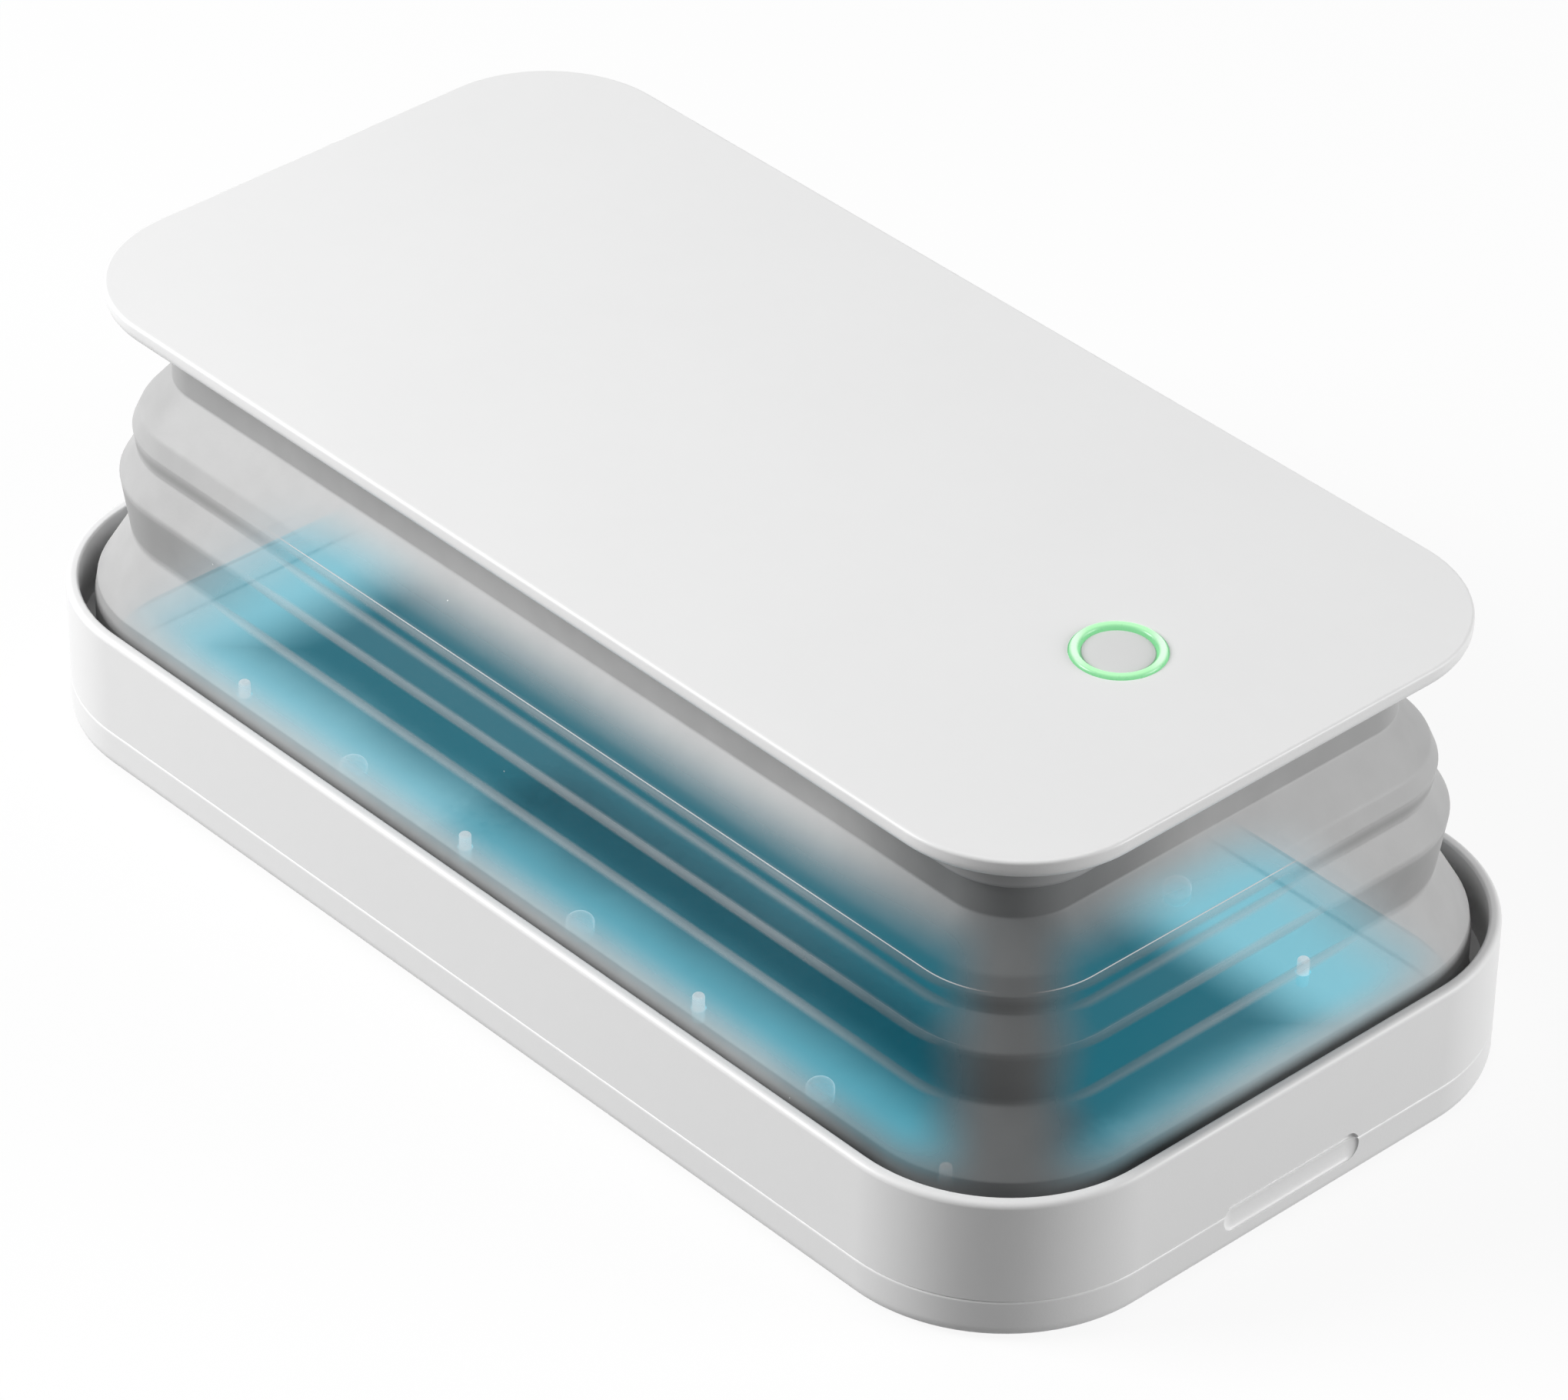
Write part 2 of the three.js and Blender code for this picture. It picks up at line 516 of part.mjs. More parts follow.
function mirrorTray() {
  const underside = MIRROR_Z - MIRROR_THICKNESS;
  let tray = block([
    at(CASE_CORE, MIRROR_RADIUS, underside),
    at(CASE_CORE, MIRROR_RADIUS, MIRROR_Z + MIRROR_LIP),
  ]);
  tray = tray.subtract(block([
    at(CASE_CORE, MIRROR_RADIUS - MIRROR_LIP_WIDTH - MIRROR_LIP, MIRROR_Z),
    at(CASE_CORE, MIRROR_RADIUS - MIRROR_LIP_WIDTH, MIRROR_Z + MIRROR_LIP),
    at(CASE_CORE, MIRROR_RADIUS - MIRROR_LIP_WIDTH, MIRROR_Z + MIRROR_LIP + OVERRUN),
  ]));
  for (const x of PEG_PITCHES.map((pitch) => pitch * PEG_PITCH)) {
    for (const y of [-PEG_ROW, PEG_ROW]) {
      tray = tray.subtract(upright(PEG_RADIUS + SLIDE_GAP, underside - OVERRUN,
        MIRROR_Z + OVERRUN, x, y, SCREW_SIDES));
    }
  }
  for (const [x, y] of PLACES_OF_FEET) {
    tray = tray.add(upright(SCREW_BOSS_RADIUS, TRAY_BOSS_Z, MIRROR_Z - MIRROR_THICKNESS / 2, x, y));
    tray = tray.subtract(upright(SCREW_RADIUS + SCREW_GAP, TRAY_BOSS_Z - OVERRUN,
      TRAY_SCREW_SEAT_Z + SCREW_BITE + SCREW_GAP, x, y, SCREW_SIDES));
  }
  return piece("mirror_tray", tray, MATERIALS.mirror);
}

function addBumpers(parent) {
  const dome = turned([
    [0, 0], [BUMPER_RADIUS, 0],
    ...BUMPER_DOME_SHARES.map(([across, up]) => [across * BUMPER_RADIUS, up * BUMPER_HEIGHT]),
    [0, BUMPER_HEIGHT],
  ], SCREW_SIDES);
  let number = 1;
  for (const side of [-1, 1]) {
    for (const pitch of BUMPER_PITCHES) {
      const bumper = piece(`clear_bumper_${number}`, dome, MATERIALS.clear);
      bumper.position.set(pitch * PEG_PITCH, side * PEG_ROW, MIRROR_Z);
      parent.add(bumper);
      number += 1;
    }
  }
}

function addFeet(parent) {
  const body = turned([
    [0, 0], [FOOT_RADIUS - FOOT_EDGE, 0], [FOOT_RADIUS, FOOT_EDGE],
    [FOOT_RADIUS, FOOT_THICKNESS], [0, FOOT_THICKNESS],
  ]);
  PLACES_OF_FEET.forEach(([x, y], index) => {
    const foot = piece(`rubber_foot_${index + 1}`, body, MATERIALS.rubber);
    foot.position.set(x, y, 0);
    parent.add(foot);
  });
}

function addMagnets(parent, name, z) {
  for (const [side, y] of [["left", MAGNET_Y], ["right", -MAGNET_Y]]) {
    const bar = box(MAGNET_WIDTH, MAGNET_LENGTH, MAGNET_HEIGHT, MAGNET_X, y, z);
    parent.add(piece(`${name}_${side}`, bar, MATERIALS.steel));
  }
}

function hingePin() {
  return piece("hinge_pin", hingeBar(PIN_RADIUS, HINGE_SPAN, 0), MATERIALS.steel);
}

// The places on both sides and the front end where the lower clamp frame snaps into the rim frame
function snapBars(extra) {
  const bars = [];
  const reach = SNAP_REACH + extra;
  const inner = CASE_INNER_RADIUS - CLEARANCE - SNAP_ROOT;
  const width = SNAP_ROOT + CLEARANCE + reach;
  const z = BOTTOM_CLAMP_Z + SNAP_RISE - extra;
  const height = SNAP_THICKNESS + 2 * extra;
  const length = SNAP_LENGTH + 2 * extra;
  for (const side of [-1, 1]) {
    for (const share of SNAP_OFFSET_SHARES) {
      const y = side * (CASE_CORE.width / 2 + inner + width / 2);
      bars.push(box(length, width, height, share * CASE_CORE.length, y, z));
    }
  }
  bars.push(box(width, length, height, CASE_CORE.length / 2 + inner + width / 2, 0, z));
  return bars;
}

function rimFrame() {
  const outer = CASE_CORNER;
  const inner = CASE_INNER_RADIUS;
  const ledge = BELLOWS_FOOT_RADIUS + CLEARANCE;
  let rim = frame([
    at(CASE_CORE, outer - SEAM_BREAK, SEAM_Z),
    at(CASE_CORE, outer, SEAM_Z + SEAM_BREAK),
    ...quarterRound(CASE_CORE, outer, RIM_Z - RIM_ROUND, outer - RIM_ROUND, RIM_Z, true),
    at(CASE_CORE, inner + RIM_INNER_BREAK, RIM_Z),
    at(CASE_CORE, inner, RIM_Z - RIM_INNER_BREAK),
    at(CASE_CORE, inner, LEDGE_Z + LEDGE_THICKNESS),
    at(BELLOWS_CORE, ledge, LEDGE_Z + LEDGE_THICKNESS),
    at(BELLOWS_CORE, ledge, LEDGE_Z),
    at(CASE_CORE, inner, LEDGE_Z),
    at(CASE_CORE, inner, SEAM_Z),
  ]);
  const knuckle = trayKnuckle(BARREL_RADIUS + CLEARANCE, 2 * CLEARANCE);
  rim = cut(rim, [notchCutter(), ...knuckle, ...snapBars(CLEARANCE)]);
  rim = add(rim, coverKnuckles(BARREL_RADIUS, 0));
  rim = rim.subtract(hingeBar(PIN_RADIUS + SCREW_GAP, HINGE_SPAN + 2 * OVERRUN, 0));
  return piece("rim_frame", rim, MATERIALS.shell);
}

function lowerClampFrame() {
  const outer = BOTTOM_CLAMP_RADIUS;
  const inner = outer - BOTTOM_CLAMP_WIDTH;
  let clamp = frame([
    at(CASE_CORE, outer, BOTTOM_CLAMP_Z),
    at(CASE_CORE, outer, BOTTOM_CLAMP_TOP_Z),
    at(CASE_CORE, inner, BOTTOM_CLAMP_TOP_Z),
    at(CASE_CORE, inner, BOTTOM_CLAMP_Z),
  ]);
  const pocketLength = MAGNET_LENGTH + 2 * SCREW_GAP;
  const pocketWidth = MAGNET_WIDTH + 2 * SCREW_GAP;
  const height = BOTTOM_CLAMP_TOP_Z - BOTTOM_CLAMP_Z;
  for (const y of [-MAGNET_Y, MAGNET_Y]) {
    clamp = clamp.add(box(pocketWidth + 2 * MAGNET_POCKET_WALL, pocketLength + 2 * MAGNET_POCKET_WALL,
      height, MAGNET_X, y, BOTTOM_CLAMP_Z));
  }
  clamp = add(clamp, snapBars(0));
  for (const y of [-MAGNET_Y, MAGNET_Y]) {
    clamp = clamp.subtract(box(pocketWidth, pocketLength, MAGNET_HEIGHT + SLIDE_GAP + OVERRUN,
      MAGNET_X, y, BOTTOM_CLAMP_Z - OVERRUN));
  }
  clamp = clamp.subtract(hingeBar(BARREL_RADIUS + CLEARANCE, HINGE_SPAN + 2 * CLEARANCE, 0));
  return piece("lower_clamp_frame", clamp, MATERIALS.carrier);
}

// Rounds the corners of a path of radii and heights, each by its own radius
function rounded(path, steps) {
  const points = [];
  path.forEach(([radius, z, round], index) => {
    const here = new THREE.Vector2(radius, z);
    if (!round) {
      points.push(here);
      return;
    }
    const back = new THREE.Vector2(...path[index - 1]).sub(here);
    const ahead = new THREE.Vector2(...path[index + 1]).sub(here);
    const half = Math.abs(back.angleTo(ahead)) / 2;
    const room = FOLD_REACH_SHARE * Math.min(back.length(), ahead.length());
    const reach = Math.min(round / Math.tan(half), room);
    const from = here.clone().addScaledVector(back.normalize(), reach);
    const to = here.clone().addScaledVector(ahead.normalize(), reach);
    points.push(...new THREE.QuadraticBezierCurve(from, here, to).getPoints(steps));
  });
  return points;
}

// Shifts a path square to itself, to its left as it runs
function shifted(points, distance) {
  return points.map((point, index) => {
    const before = points[Math.max(index - 1, 0)];
    const after = points[Math.min(index + 1, points.length - 1)];
    const first = point.clone().sub(before).normalize();
    const second = after.clone().sub(point).normalize();
    const along = first.add(second).normalize();
    return new THREE.Vector2(point.x - along.y * distance, point.y + along.x * distance);
  });
}

// The bellows: outer wall path from the foot up to the collar, then its twin one wall further in
function bellows() {
  const path = [
    [BELLOWS_FOOT_RADIUS, LOWER_LIP_Z + RETAINING_LIP],
    [BELLOWS_FOOT_RADIUS, RIM_Z - SKIRT_EDGE_DROP, FOLD_ROUND],
    [SKIRT_EDGE_RADIUS, RIM_Z, FOLD_ROUND],
    [LOWER_CREASE_RADIUS, LOWER_CREASE_Z, FOLD_ROUND],
    [RIDGE_RADIUS, RIDGE_Z, FOLD_ROUND],
    [UPPER_CREASE_RADIUS, UPPER_CREASE_Z, FOLD_ROUND],
    [TIER_EDGE_RADIUS, TIER_EDGE_Z, FOLD_ROUND],
    [SHOULDER_RADIUS, SHOULDER_Z, SHOULDER_ROUND],
    [COLLAR_RADIUS, COLLAR_Z, FOLD_ROUND],
    [COLLAR_RADIUS, COLLAR_TOP_Z - RETAINING_LIP],
  ];
  const wall = rounded(path, FOLD_STEPS);
  const inside = shifted(rounded(path, 1), BELLOWS_WALL).reverse();
  const station = ({ x, y }) => at(BELLOWS_CORE, x, y);
  const flangeRadius = COLLAR_RADIUS - COLLAR_FLANGE;
  let body = frame([
    at(BELLOWS_CORE, BELLOWS_FOOT_RADIUS - BELLOWS_WALL, LOWER_LIP_Z),
    at(CASE_CORE, BOTTOM_CLAMP_RADIUS, LOWER_LIP_Z),
    at(CASE_CORE, BOTTOM_CLAMP_RADIUS, LOWER_LIP_Z + RETAINING_LIP),
    ...wall.map(station),
    at(BELLOWS_CORE, COLLAR_RADIUS, COLLAR_TOP_Z),
    at(BELLOWS_CORE, flangeRadius, COLLAR_TOP_Z),
    at(BELLOWS_CORE, flangeRadius, COLLAR_TOP_Z - RETAINING_LIP),
    ...inside.map(station),
  ]);
  for (const [x, y] of PLACES_OF_CLAMP_SCREWS) {
    body = body.subtract(upright(CLAMP_SCREW_RADIUS + CLEARANCE, COLLAR_Z + BELLOWS_WALL,
      COLLAR_TOP_Z + OVERRUN, x, y, SCREW_SIDES));
  }
  return piece("bellows", body, MATERIALS.silicone);
}

const UPPER_CLAMP_TOP_Z = COLLAR_TOP_Z - RETAINING_LIP - CLEARANCE;
const UPPER_CLAMP_Z = UPPER_CLAMP_TOP_Z - TOP_CLAMP_THICKNESS;
const CLAMP_SCREW_DEPTH = CARRIER_Z - UPPER_CLAMP_Z + CLAMP_SCREW_BITE;

function upperClampFrame() {
  const outer = COLLAR_RADIUS - BELLOWS_WALL - CLEARANCE;
  const inner = COLLAR_RADIUS - COLLAR_FLANGE;
  let clamp = frame([
    at(BELLOWS_CORE, outer, UPPER_CLAMP_Z), at(BELLOWS_CORE, outer, UPPER_CLAMP_TOP_Z),
    at(BELLOWS_CORE, inner, UPPER_CLAMP_TOP_Z), at(BELLOWS_CORE, inner, UPPER_CLAMP_Z),
  ]);
  for (const [x, y] of PLACES_OF_CLAMP_SCREWS) {
    clamp = clamp.subtract(upright(CLAMP_SCREW_RADIUS + SCREW_GAP, UPPER_CLAMP_Z - OVERRUN,
      UPPER_CLAMP_TOP_Z + OVERRUN, x, y, SCREW_SIDES));
  }
  return piece("upper_clamp_frame", clamp, MATERIALS.carrier);
}

// Lid screws seat in the carrier floor, one head height up
const LID_SCREW_SEAT_Z = CARRIER_Z + SCREW_HEAD_HEIGHT;
const LID_SCREW_BITE = LID_Z - LID_SCREW_SEAT_Z;

function lidPlate() {
  const edge = LID_CORNER;
  let lid = block([
    at(LID_CORE, edge - SEAM_BREAK, LID_Z),
    at(LID_CORE, edge, LID_Z + SEAM_BREAK),
    ...quarterRound(LID_CORE, edge, LID_TOP_Z - LID_EDGE_ROUND, edge - LID_EDGE_ROUND, LID_TOP_Z, true),
  ]);
  lid = lid.subtract(block([
    at(LID_CORE, edge - LID_SKIRT, LID_Z - OVERRUN), at(LID_CORE, edge - LID_SKIRT, LID_SKIN_Z),
  ]));
  for (const [x, y] of PLACES_OF_LID_SCREWS) {
    lid = lid.add(upright(LID_BOSS_RADIUS, CARRIER_FLOOR_Z + SLIDE_GAP, LID_SKIN_Z + LID_SKIN / 2, x, y));
    lid = lid.subtract(upright(SCREW_RADIUS + SCREW_GAP, CARRIER_Z, LID_Z + SCREW_GAP, x, y, SCREW_SIDES));
  }
  const ringHole = upright(RING_OUTER_RADIUS + SCREW_GAP, LID_Z, LID_TOP_Z + OVERRUN, BUTTON_X, 0, DISC_SIDES);
  return piece("lid_plate", lid.subtract(ringHole), MATERIALS.shell);
}

// The lamps hang from the middle of the lid
const LED_PLACES = Array.from({ length: LED_COUNT }, (_, index) =>
  LED_BOARD_X + (index - (LED_COUNT - 1) / 2) * LED_PITCH);

function lampCone(x) {
  const low = CARRIER_Z - FACE_OVERRUN;
  const high = CARRIER_FLOOR_Z + FACE_OVERRUN;
  const profile = [[0, low], [LED_CONE_BOTTOM_RADIUS, low], [LED_CONE_TOP_RADIUS, high], [0, high]];
  return turned(profile, BOSS_SIDES).translate(x, 0, 0);
}

function mainBoardPosts() {
  const x = MAIN_BOARD_LENGTH / 2 - POST_INSET;
  const y = MAIN_BOARD_WIDTH / 2 - POST_INSET;
  const low = CARRIER_FLOOR_Z - CARRIER_FLOOR / 2;
  return CORNER_SIDES.map(([sideX, sideY]) =>
    upright(POST_RADIUS, low, MAIN_BOARD_Z, MAIN_BOARD_X + sideX * x, sideY * y, SCREW_SIDES));
}

function lidCarrier() {
  const wall = CARRIER_RADIUS;
  const brim = LID_CORNER - LID_SKIRT - CLEARANCE;
  let carrier = block([
    ...quarterRound(LID_CORE, wall - CARRIER_ROUND, CARRIER_Z, wall, CARRIER_Z + CARRIER_ROUND, false),
    at(LID_CORE, wall, LID_Z),
    at(LID_CORE, brim, LID_Z),
    at(LID_CORE, brim, LID_Z + CARRIER_BRIM),
  ]);
  carrier = carrier.subtract(block([
    at(LID_CORE, wall - CARRIER_WALL, CARRIER_FLOOR_Z),
    at(LID_CORE, wall - CARRIER_WALL, LID_Z + CARRIER_BRIM + OVERRUN),
  ]));
  const rails = [-1, 1].map((side) => box(LED_RAIL_WIDTH, LED_BOARD_WIDTH, LED_BOARD_RAIL + CARRIER_FLOOR / 2,
    LED_BOARD_X + side * (LED_BOARD_LENGTH - LED_RAIL_WIDTH) / 2, 0, CARRIER_FLOOR_Z - CARRIER_FLOOR / 2));
  carrier = add(carrier, [...rails, ...mainBoardPosts()]);
  for (const [x, y] of PLACES_OF_CLAMP_SCREWS) {
    carrier = carrier.add(upright(CLAMP_BOSS_RADIUS, CARRIER_FLOOR_Z - CARRIER_FLOOR / 2,
      UPPER_CLAMP_Z + CLAMP_SCREW_DEPTH + CARRIER_FLOOR, x, y, SCREW_SIDES));
    carrier = carrier.subtract(upright(CLAMP_SCREW_RADIUS + SCREW_GAP, CARRIER_Z - OVERRUN,
      UPPER_CLAMP_Z + CLAMP_SCREW_DEPTH + SCREW_GAP, x, y, SCREW_SIDES));
  }
  for (const [x, y] of PLACES_OF_LID_SCREWS) {
    carrier = cut(carrier, [
      upright(SCREW_HEAD_RADIUS + SCREW_GAP, CARRIER_Z - OVERRUN, LID_SCREW_SEAT_Z, x, y, SCREW_SIDES),
      upright(SCREW_RADIUS + SCREW_GAP, CARRIER_Z, CARRIER_FLOOR_Z + OVERRUN, x, y, SCREW_SIDES),
    ]);
  }
  carrier = cut(carrier, LED_PLACES.map(lampCone));
  const slotSize = [2 * CARRIER_WALL + SOCKET_DEPTH, SOCKET_WIDTH + 2 * SLIDE_GAP, SOCKET_HEIGHT + 2 * SLIDE_GAP];
  const slotZ = CHARGE_BOARD_Z + BOARD_THICKNESS - SLIDE_GAP;
  carrier = carrier.subtract(box(...slotSize, -LID_CORE.length / 2 - wall, 0, slotZ));
  return piece("lid_carrier", carrier, MATERIALS.carrier);
}

function lightRing() {
  const middle = (RING_OUTER_RADIUS + RING_INNER_RADIUS) / 2;
  const half = (RING_OUTER_RADIUS - RING_INNER_RADIUS) / 2;
  const crown = [];
  for (let step = 0; step <= 2 * ROUND_STEPS; step += 1) {
    const angle = step / ROUND_STEPS * Math.PI / 2;
    crown.push([middle + half * Math.cos(angle), LID_TOP_Z + RING_PROUD * Math.sin(angle)]);
  }
  const flangeTop = RING_Z + RING_FLANGE_THICKNESS;
  const profile = [
    [RING_INNER_RADIUS, RING_Z], [RING_FLANGE_RADIUS, RING_Z], [RING_FLANGE_RADIUS, flangeTop],
    [RING_OUTER_RADIUS, flangeTop], ...crown, [RING_INNER_RADIUS, RING_Z],
  ];
  return piece("light_ring", turned(profile).translate(BUTTON_X, 0, 0), MATERIALS.glow);
}

function buttonCap() {
  const radius = RING_INNER_RADIUS - SLIDE_GAP;
  const top = LID_TOP_Z - BUTTON_SUNK;
  const flangeTop = BUTTON_FLANGE_Z + BUTTON_FLANGE_THICKNESS;
  const cap = turned([
    [0, BUTTON_FLANGE_Z], [BUTTON_FLANGE_RADIUS, BUTTON_FLANGE_Z], [BUTTON_FLANGE_RADIUS, flangeTop],
    [radius, flangeTop], [radius, top - BUTTON_EDGE], [radius - BUTTON_EDGE, top], [0, top],
  ]);
  return piece("button_cap", cap.translate(BUTTON_X, 0, 0), MATERIALS.shell);
}

function mainBoard() {
  const board = box(MAIN_BOARD_LENGTH, MAIN_BOARD_WIDTH, BOARD_THICKNESS, MAIN_BOARD_X, 0, MAIN_BOARD_Z);
  return piece("main_board", board, MATERIALS.board);
}

function tactSwitch() {
  const z = MAIN_BOARD_Z + BOARD_THICKNESS;
  const body = box(SWITCH_SIZE, SWITCH_SIZE, SWITCH_HEIGHT, BUTTON_X, 0, z);
  const plunger = upright(PLUNGER_RADIUS, z + SWITCH_HEIGHT / 2, SWITCH_TOP_Z, BUTTON_X, 0, SCREW_SIDES);
  return piece("tact_switch", body.add(plunger), MATERIALS.black);
}

function lampBoard() {
  const board = box(LED_BOARD_LENGTH, LED_BOARD_WIDTH, BOARD_THICKNESS, LED_BOARD_X, 0, LED_BOARD_Z);
  return piece("uv_led_board", board, MATERIALS.board);
}

function addLamps(parent) {
  LED_PLACES.forEach((x, index) => {
    const base = box(LED_SIZE, LED_SIZE, LED_BASE_HEIGHT, x, 0, LED_BOARD_Z - LED_BASE_HEIGHT);
    const bulge = LED_LENS_SHARE * LED_LENS_RADIUS;
    const lens = turned([
      [0, -LED_LENS_RADIUS], [bulge, -bulge], [LED_LENS_RADIUS, 0],
      [LED_LENS_RADIUS, LED_BASE_HEIGHT / 2], [0, LED_BASE_HEIGHT / 2],
    ], SCREW_SIDES).translate(x, 0, LED_BOARD_Z - LED_BASE_HEIGHT);
    parent.add(piece(`uv_led_${index + 1}`, base.add(lens), MATERIALS.ceramic));
  });
}

function battery() {
  const shape = new THREE.Shape();
  const half = BATTERY_WIDTH / 2;
  const tall = BATTERY_THICKNESS;
  const round = BATTERY_ROUND;
  shape.moveTo(-half + round, 0);
  shape.lineTo(half - round, 0);
  shape.quadraticCurveTo(half, 0, half, round);
  shape.lineTo(half, tall - round);
  shape.quadraticCurveTo(half, tall, half - round, tall);
  shape.lineTo(-half + round, tall);
  shape.quadraticCurveTo(-half, tall, -half, tall - round);
  shape.lineTo(-half, round);
  shape.quadraticCurveTo(-half, 0, -half + round, 0);
  const run = { depth: BATTERY_LENGTH, bevelEnabled: false, curveSegments: ROUND_STEPS };
  const cell = new THREE.ExtrudeGeometry(shape, run);
  cell.translate(0, 0, -BATTERY_LENGTH / 2).rotateX(Math.PI / 2).rotateZ(Math.PI / 2);
  return piece("battery", solid(cell.translate(0, BATTERY_Y, CARRIER_FLOOR_Z)), MATERIALS.cell);
}

function chargeBoard() {
  const x = SOCKET_X - SOCKET_DEPTH / 2 + CARRIER_WALL + SLIDE_GAP + CHARGE_BOARD_LENGTH / 2;
  const board = box(CHARGE_BOARD_LENGTH, CHARGE_BOARD_WIDTH, BOARD_THICKNESS, x, 0, CHARGE_BOARD_Z);
  return piece("charge_board", board, MATERIALS.board);
}

// A flat-oval socket, open outwards, with its tongue
function usbSocket() {
  const z = CHARGE_BOARD_Z + BOARD_THICKNESS;
  const oval = (width, height, depth, x, fromZ) => {
    const straight = width - height;
    const middle = fromZ + height / 2;
    const round = new THREE.CylinderGeometry(height / 2, height / 2, depth, SCREW_SIDES).rotateZ(Math.PI / 2);
    const rounds = [-1, 1].map((side) => solid(round.clone().translate(x, side * straight / 2, middle)));
    return add(box(depth, straight, height, x, 0, fromZ), rounds);
  };
  const shell = oval(SOCKET_WIDTH, SOCKET_HEIGHT, SOCKET_DEPTH, SOCKET_X, z);
  const mouth = oval(SOCKET_WIDTH - 2 * SOCKET_WALL, SOCKET_HEIGHT - 2 * SOCKET_WALL, SOCKET_DEPTH,
    SOCKET_X - SOCKET_BACK, z + SOCKET_WALL);
  const tongue = box(SOCKET_DEPTH - SOCKET_BACK, SOCKET_TONGUE_WIDTH, SOCKET_TONGUE,
    SOCKET_X + SOCKET_BACK / 2, 0, z + (SOCKET_HEIGHT - SOCKET_TONGUE) / 2);
  return piece("usb_socket", shell.subtract(mouth).add(tongue), MATERIALS.steel);
}

function makeTray() {
  const tray = new THREE.Group();
  tray.add(bottomShell(), mirrorTray(), hingePin());
  addBumpers(tray);
  addFeet(tray);
  placeScrews(tray, "tray_screw", PLACES_OF_FEET, TRAY_SCREW_SEAT_Z,
    screwSolid(SCREW_HEAD_RADIUS, SCREW_HEAD_HEIGHT, SCREW_RADIUS, SCREW_BITE));
  addMagnets(tray, "tray_magnet", FLOOR_Z);
  return tray;
}

function makeLid() {
  const lid = new THREE.Group();
  lid.add(lidPlate(), lidCarrier(), upperClampFrame(), lightRing(), mainBoard(), tactSwitch());
  lid.add(lampBoard(), battery(), chargeBoard(), usbSocket());
  addLamps(lid);
  placeScrews(lid, "lid_screw", PLACES_OF_LID_SCREWS, LID_SCREW_SEAT_Z,
    screwSolid(SCREW_HEAD_RADIUS, SCREW_HEAD_HEIGHT, SCREW_RADIUS, LID_SCREW_BITE));
  placeScrews(lid, "clamp_screw", PLACES_OF_CLAMP_SCREWS, UPPER_CLAMP_Z,
    screwSolid(CLAMP_HEAD_RADIUS, CLAMP_HEAD_HEIGHT, CLAMP_SCREW_RADIUS, CLAMP_SCREW_DEPTH));
  const button = new THREE.Group();
  button.add(buttonCap());
  lid.add(button);
  return lid;
}

function makeCover() {
  const cover = new THREE.Group();
  cover.add(rimFrame(), lowerClampFrame(), bellows());
  addMagnets(cover, "cover_magnet", BOTTOM_CLAMP_Z);
  cover.add(makeLid());
  return cover;
}

// The hinge barrels stand out at the back, so the whole is moved to keep the origin in its middle
const group = new THREE.Group();
group.add(makeTray(), makeCover());
group.position.x = BARREL_RADIUS / 2;

export default group;
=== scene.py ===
"""Visual model of a collapsible UV sanitizer box, built round its CAD frame.

Metres, +Z up, +X towards the end with the finger notch. A tray with a mirror floor carries a hinged
cover of rim, silicone bellows and lid.
"""

import math

import bpy
from bpy.props import FloatProperty, FloatVectorProperty, IntProperty, PointerProperty
from mathutils import Matrix, Vector


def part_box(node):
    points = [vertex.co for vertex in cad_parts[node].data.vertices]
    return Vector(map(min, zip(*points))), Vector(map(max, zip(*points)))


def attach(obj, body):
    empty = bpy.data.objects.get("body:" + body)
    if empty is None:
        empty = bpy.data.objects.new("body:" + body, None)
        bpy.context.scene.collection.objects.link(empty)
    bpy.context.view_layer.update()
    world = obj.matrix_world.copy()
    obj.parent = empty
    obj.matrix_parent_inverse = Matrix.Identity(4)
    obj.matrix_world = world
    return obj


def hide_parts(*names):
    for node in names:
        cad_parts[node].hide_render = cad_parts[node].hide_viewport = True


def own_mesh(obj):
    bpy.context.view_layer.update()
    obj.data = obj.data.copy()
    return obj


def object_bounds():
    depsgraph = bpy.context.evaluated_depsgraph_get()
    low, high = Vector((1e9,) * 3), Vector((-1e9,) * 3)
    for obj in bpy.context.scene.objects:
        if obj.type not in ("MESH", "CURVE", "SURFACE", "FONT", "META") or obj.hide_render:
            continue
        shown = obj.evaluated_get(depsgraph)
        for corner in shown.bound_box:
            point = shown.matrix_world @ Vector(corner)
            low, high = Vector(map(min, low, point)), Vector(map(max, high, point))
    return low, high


bl_info = {
    "name": "Sanitizer Box",
    "version": (1, 0, 0),
    "blender": (4, 5, 0),
    "location": "3D View > Sidebar > Sanitizer",
    "description": "Builds the visual model of a collapsible UV sanitizer box",
    "category": "Object",
}

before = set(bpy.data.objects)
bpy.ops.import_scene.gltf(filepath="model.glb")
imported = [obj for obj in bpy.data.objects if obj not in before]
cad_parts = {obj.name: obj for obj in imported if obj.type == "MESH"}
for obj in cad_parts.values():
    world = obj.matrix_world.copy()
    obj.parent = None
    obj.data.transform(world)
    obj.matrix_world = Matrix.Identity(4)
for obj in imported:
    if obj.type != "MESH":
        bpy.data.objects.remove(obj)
CAD_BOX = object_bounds()
MM = 0.001
CENTRE_X = (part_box("lid_plate")[0].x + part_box("lid_plate")[1].x) / 2
CORNER_SIDES = ((1, 1), (-1, 1), (-1, -1), (1, -1))


def level(name, description, metres):
    """A length or a height that a user can change, in metres."""
    return FloatProperty(name=name, description=description, default=metres,
                         unit="LENGTH", subtype="DISTANCE", precision=5, min=0)


def span(name, description, millimetres):
    """A length that is typed in millimetres and kept in metres."""
    return level(name, description, millimetres * MM)


def swing(name, description, degrees):
    """An angle that a user can change, typed in degrees."""
    return FloatProperty(name=name, description=description, default=math.radians(degrees),
                         subtype="ANGLE")


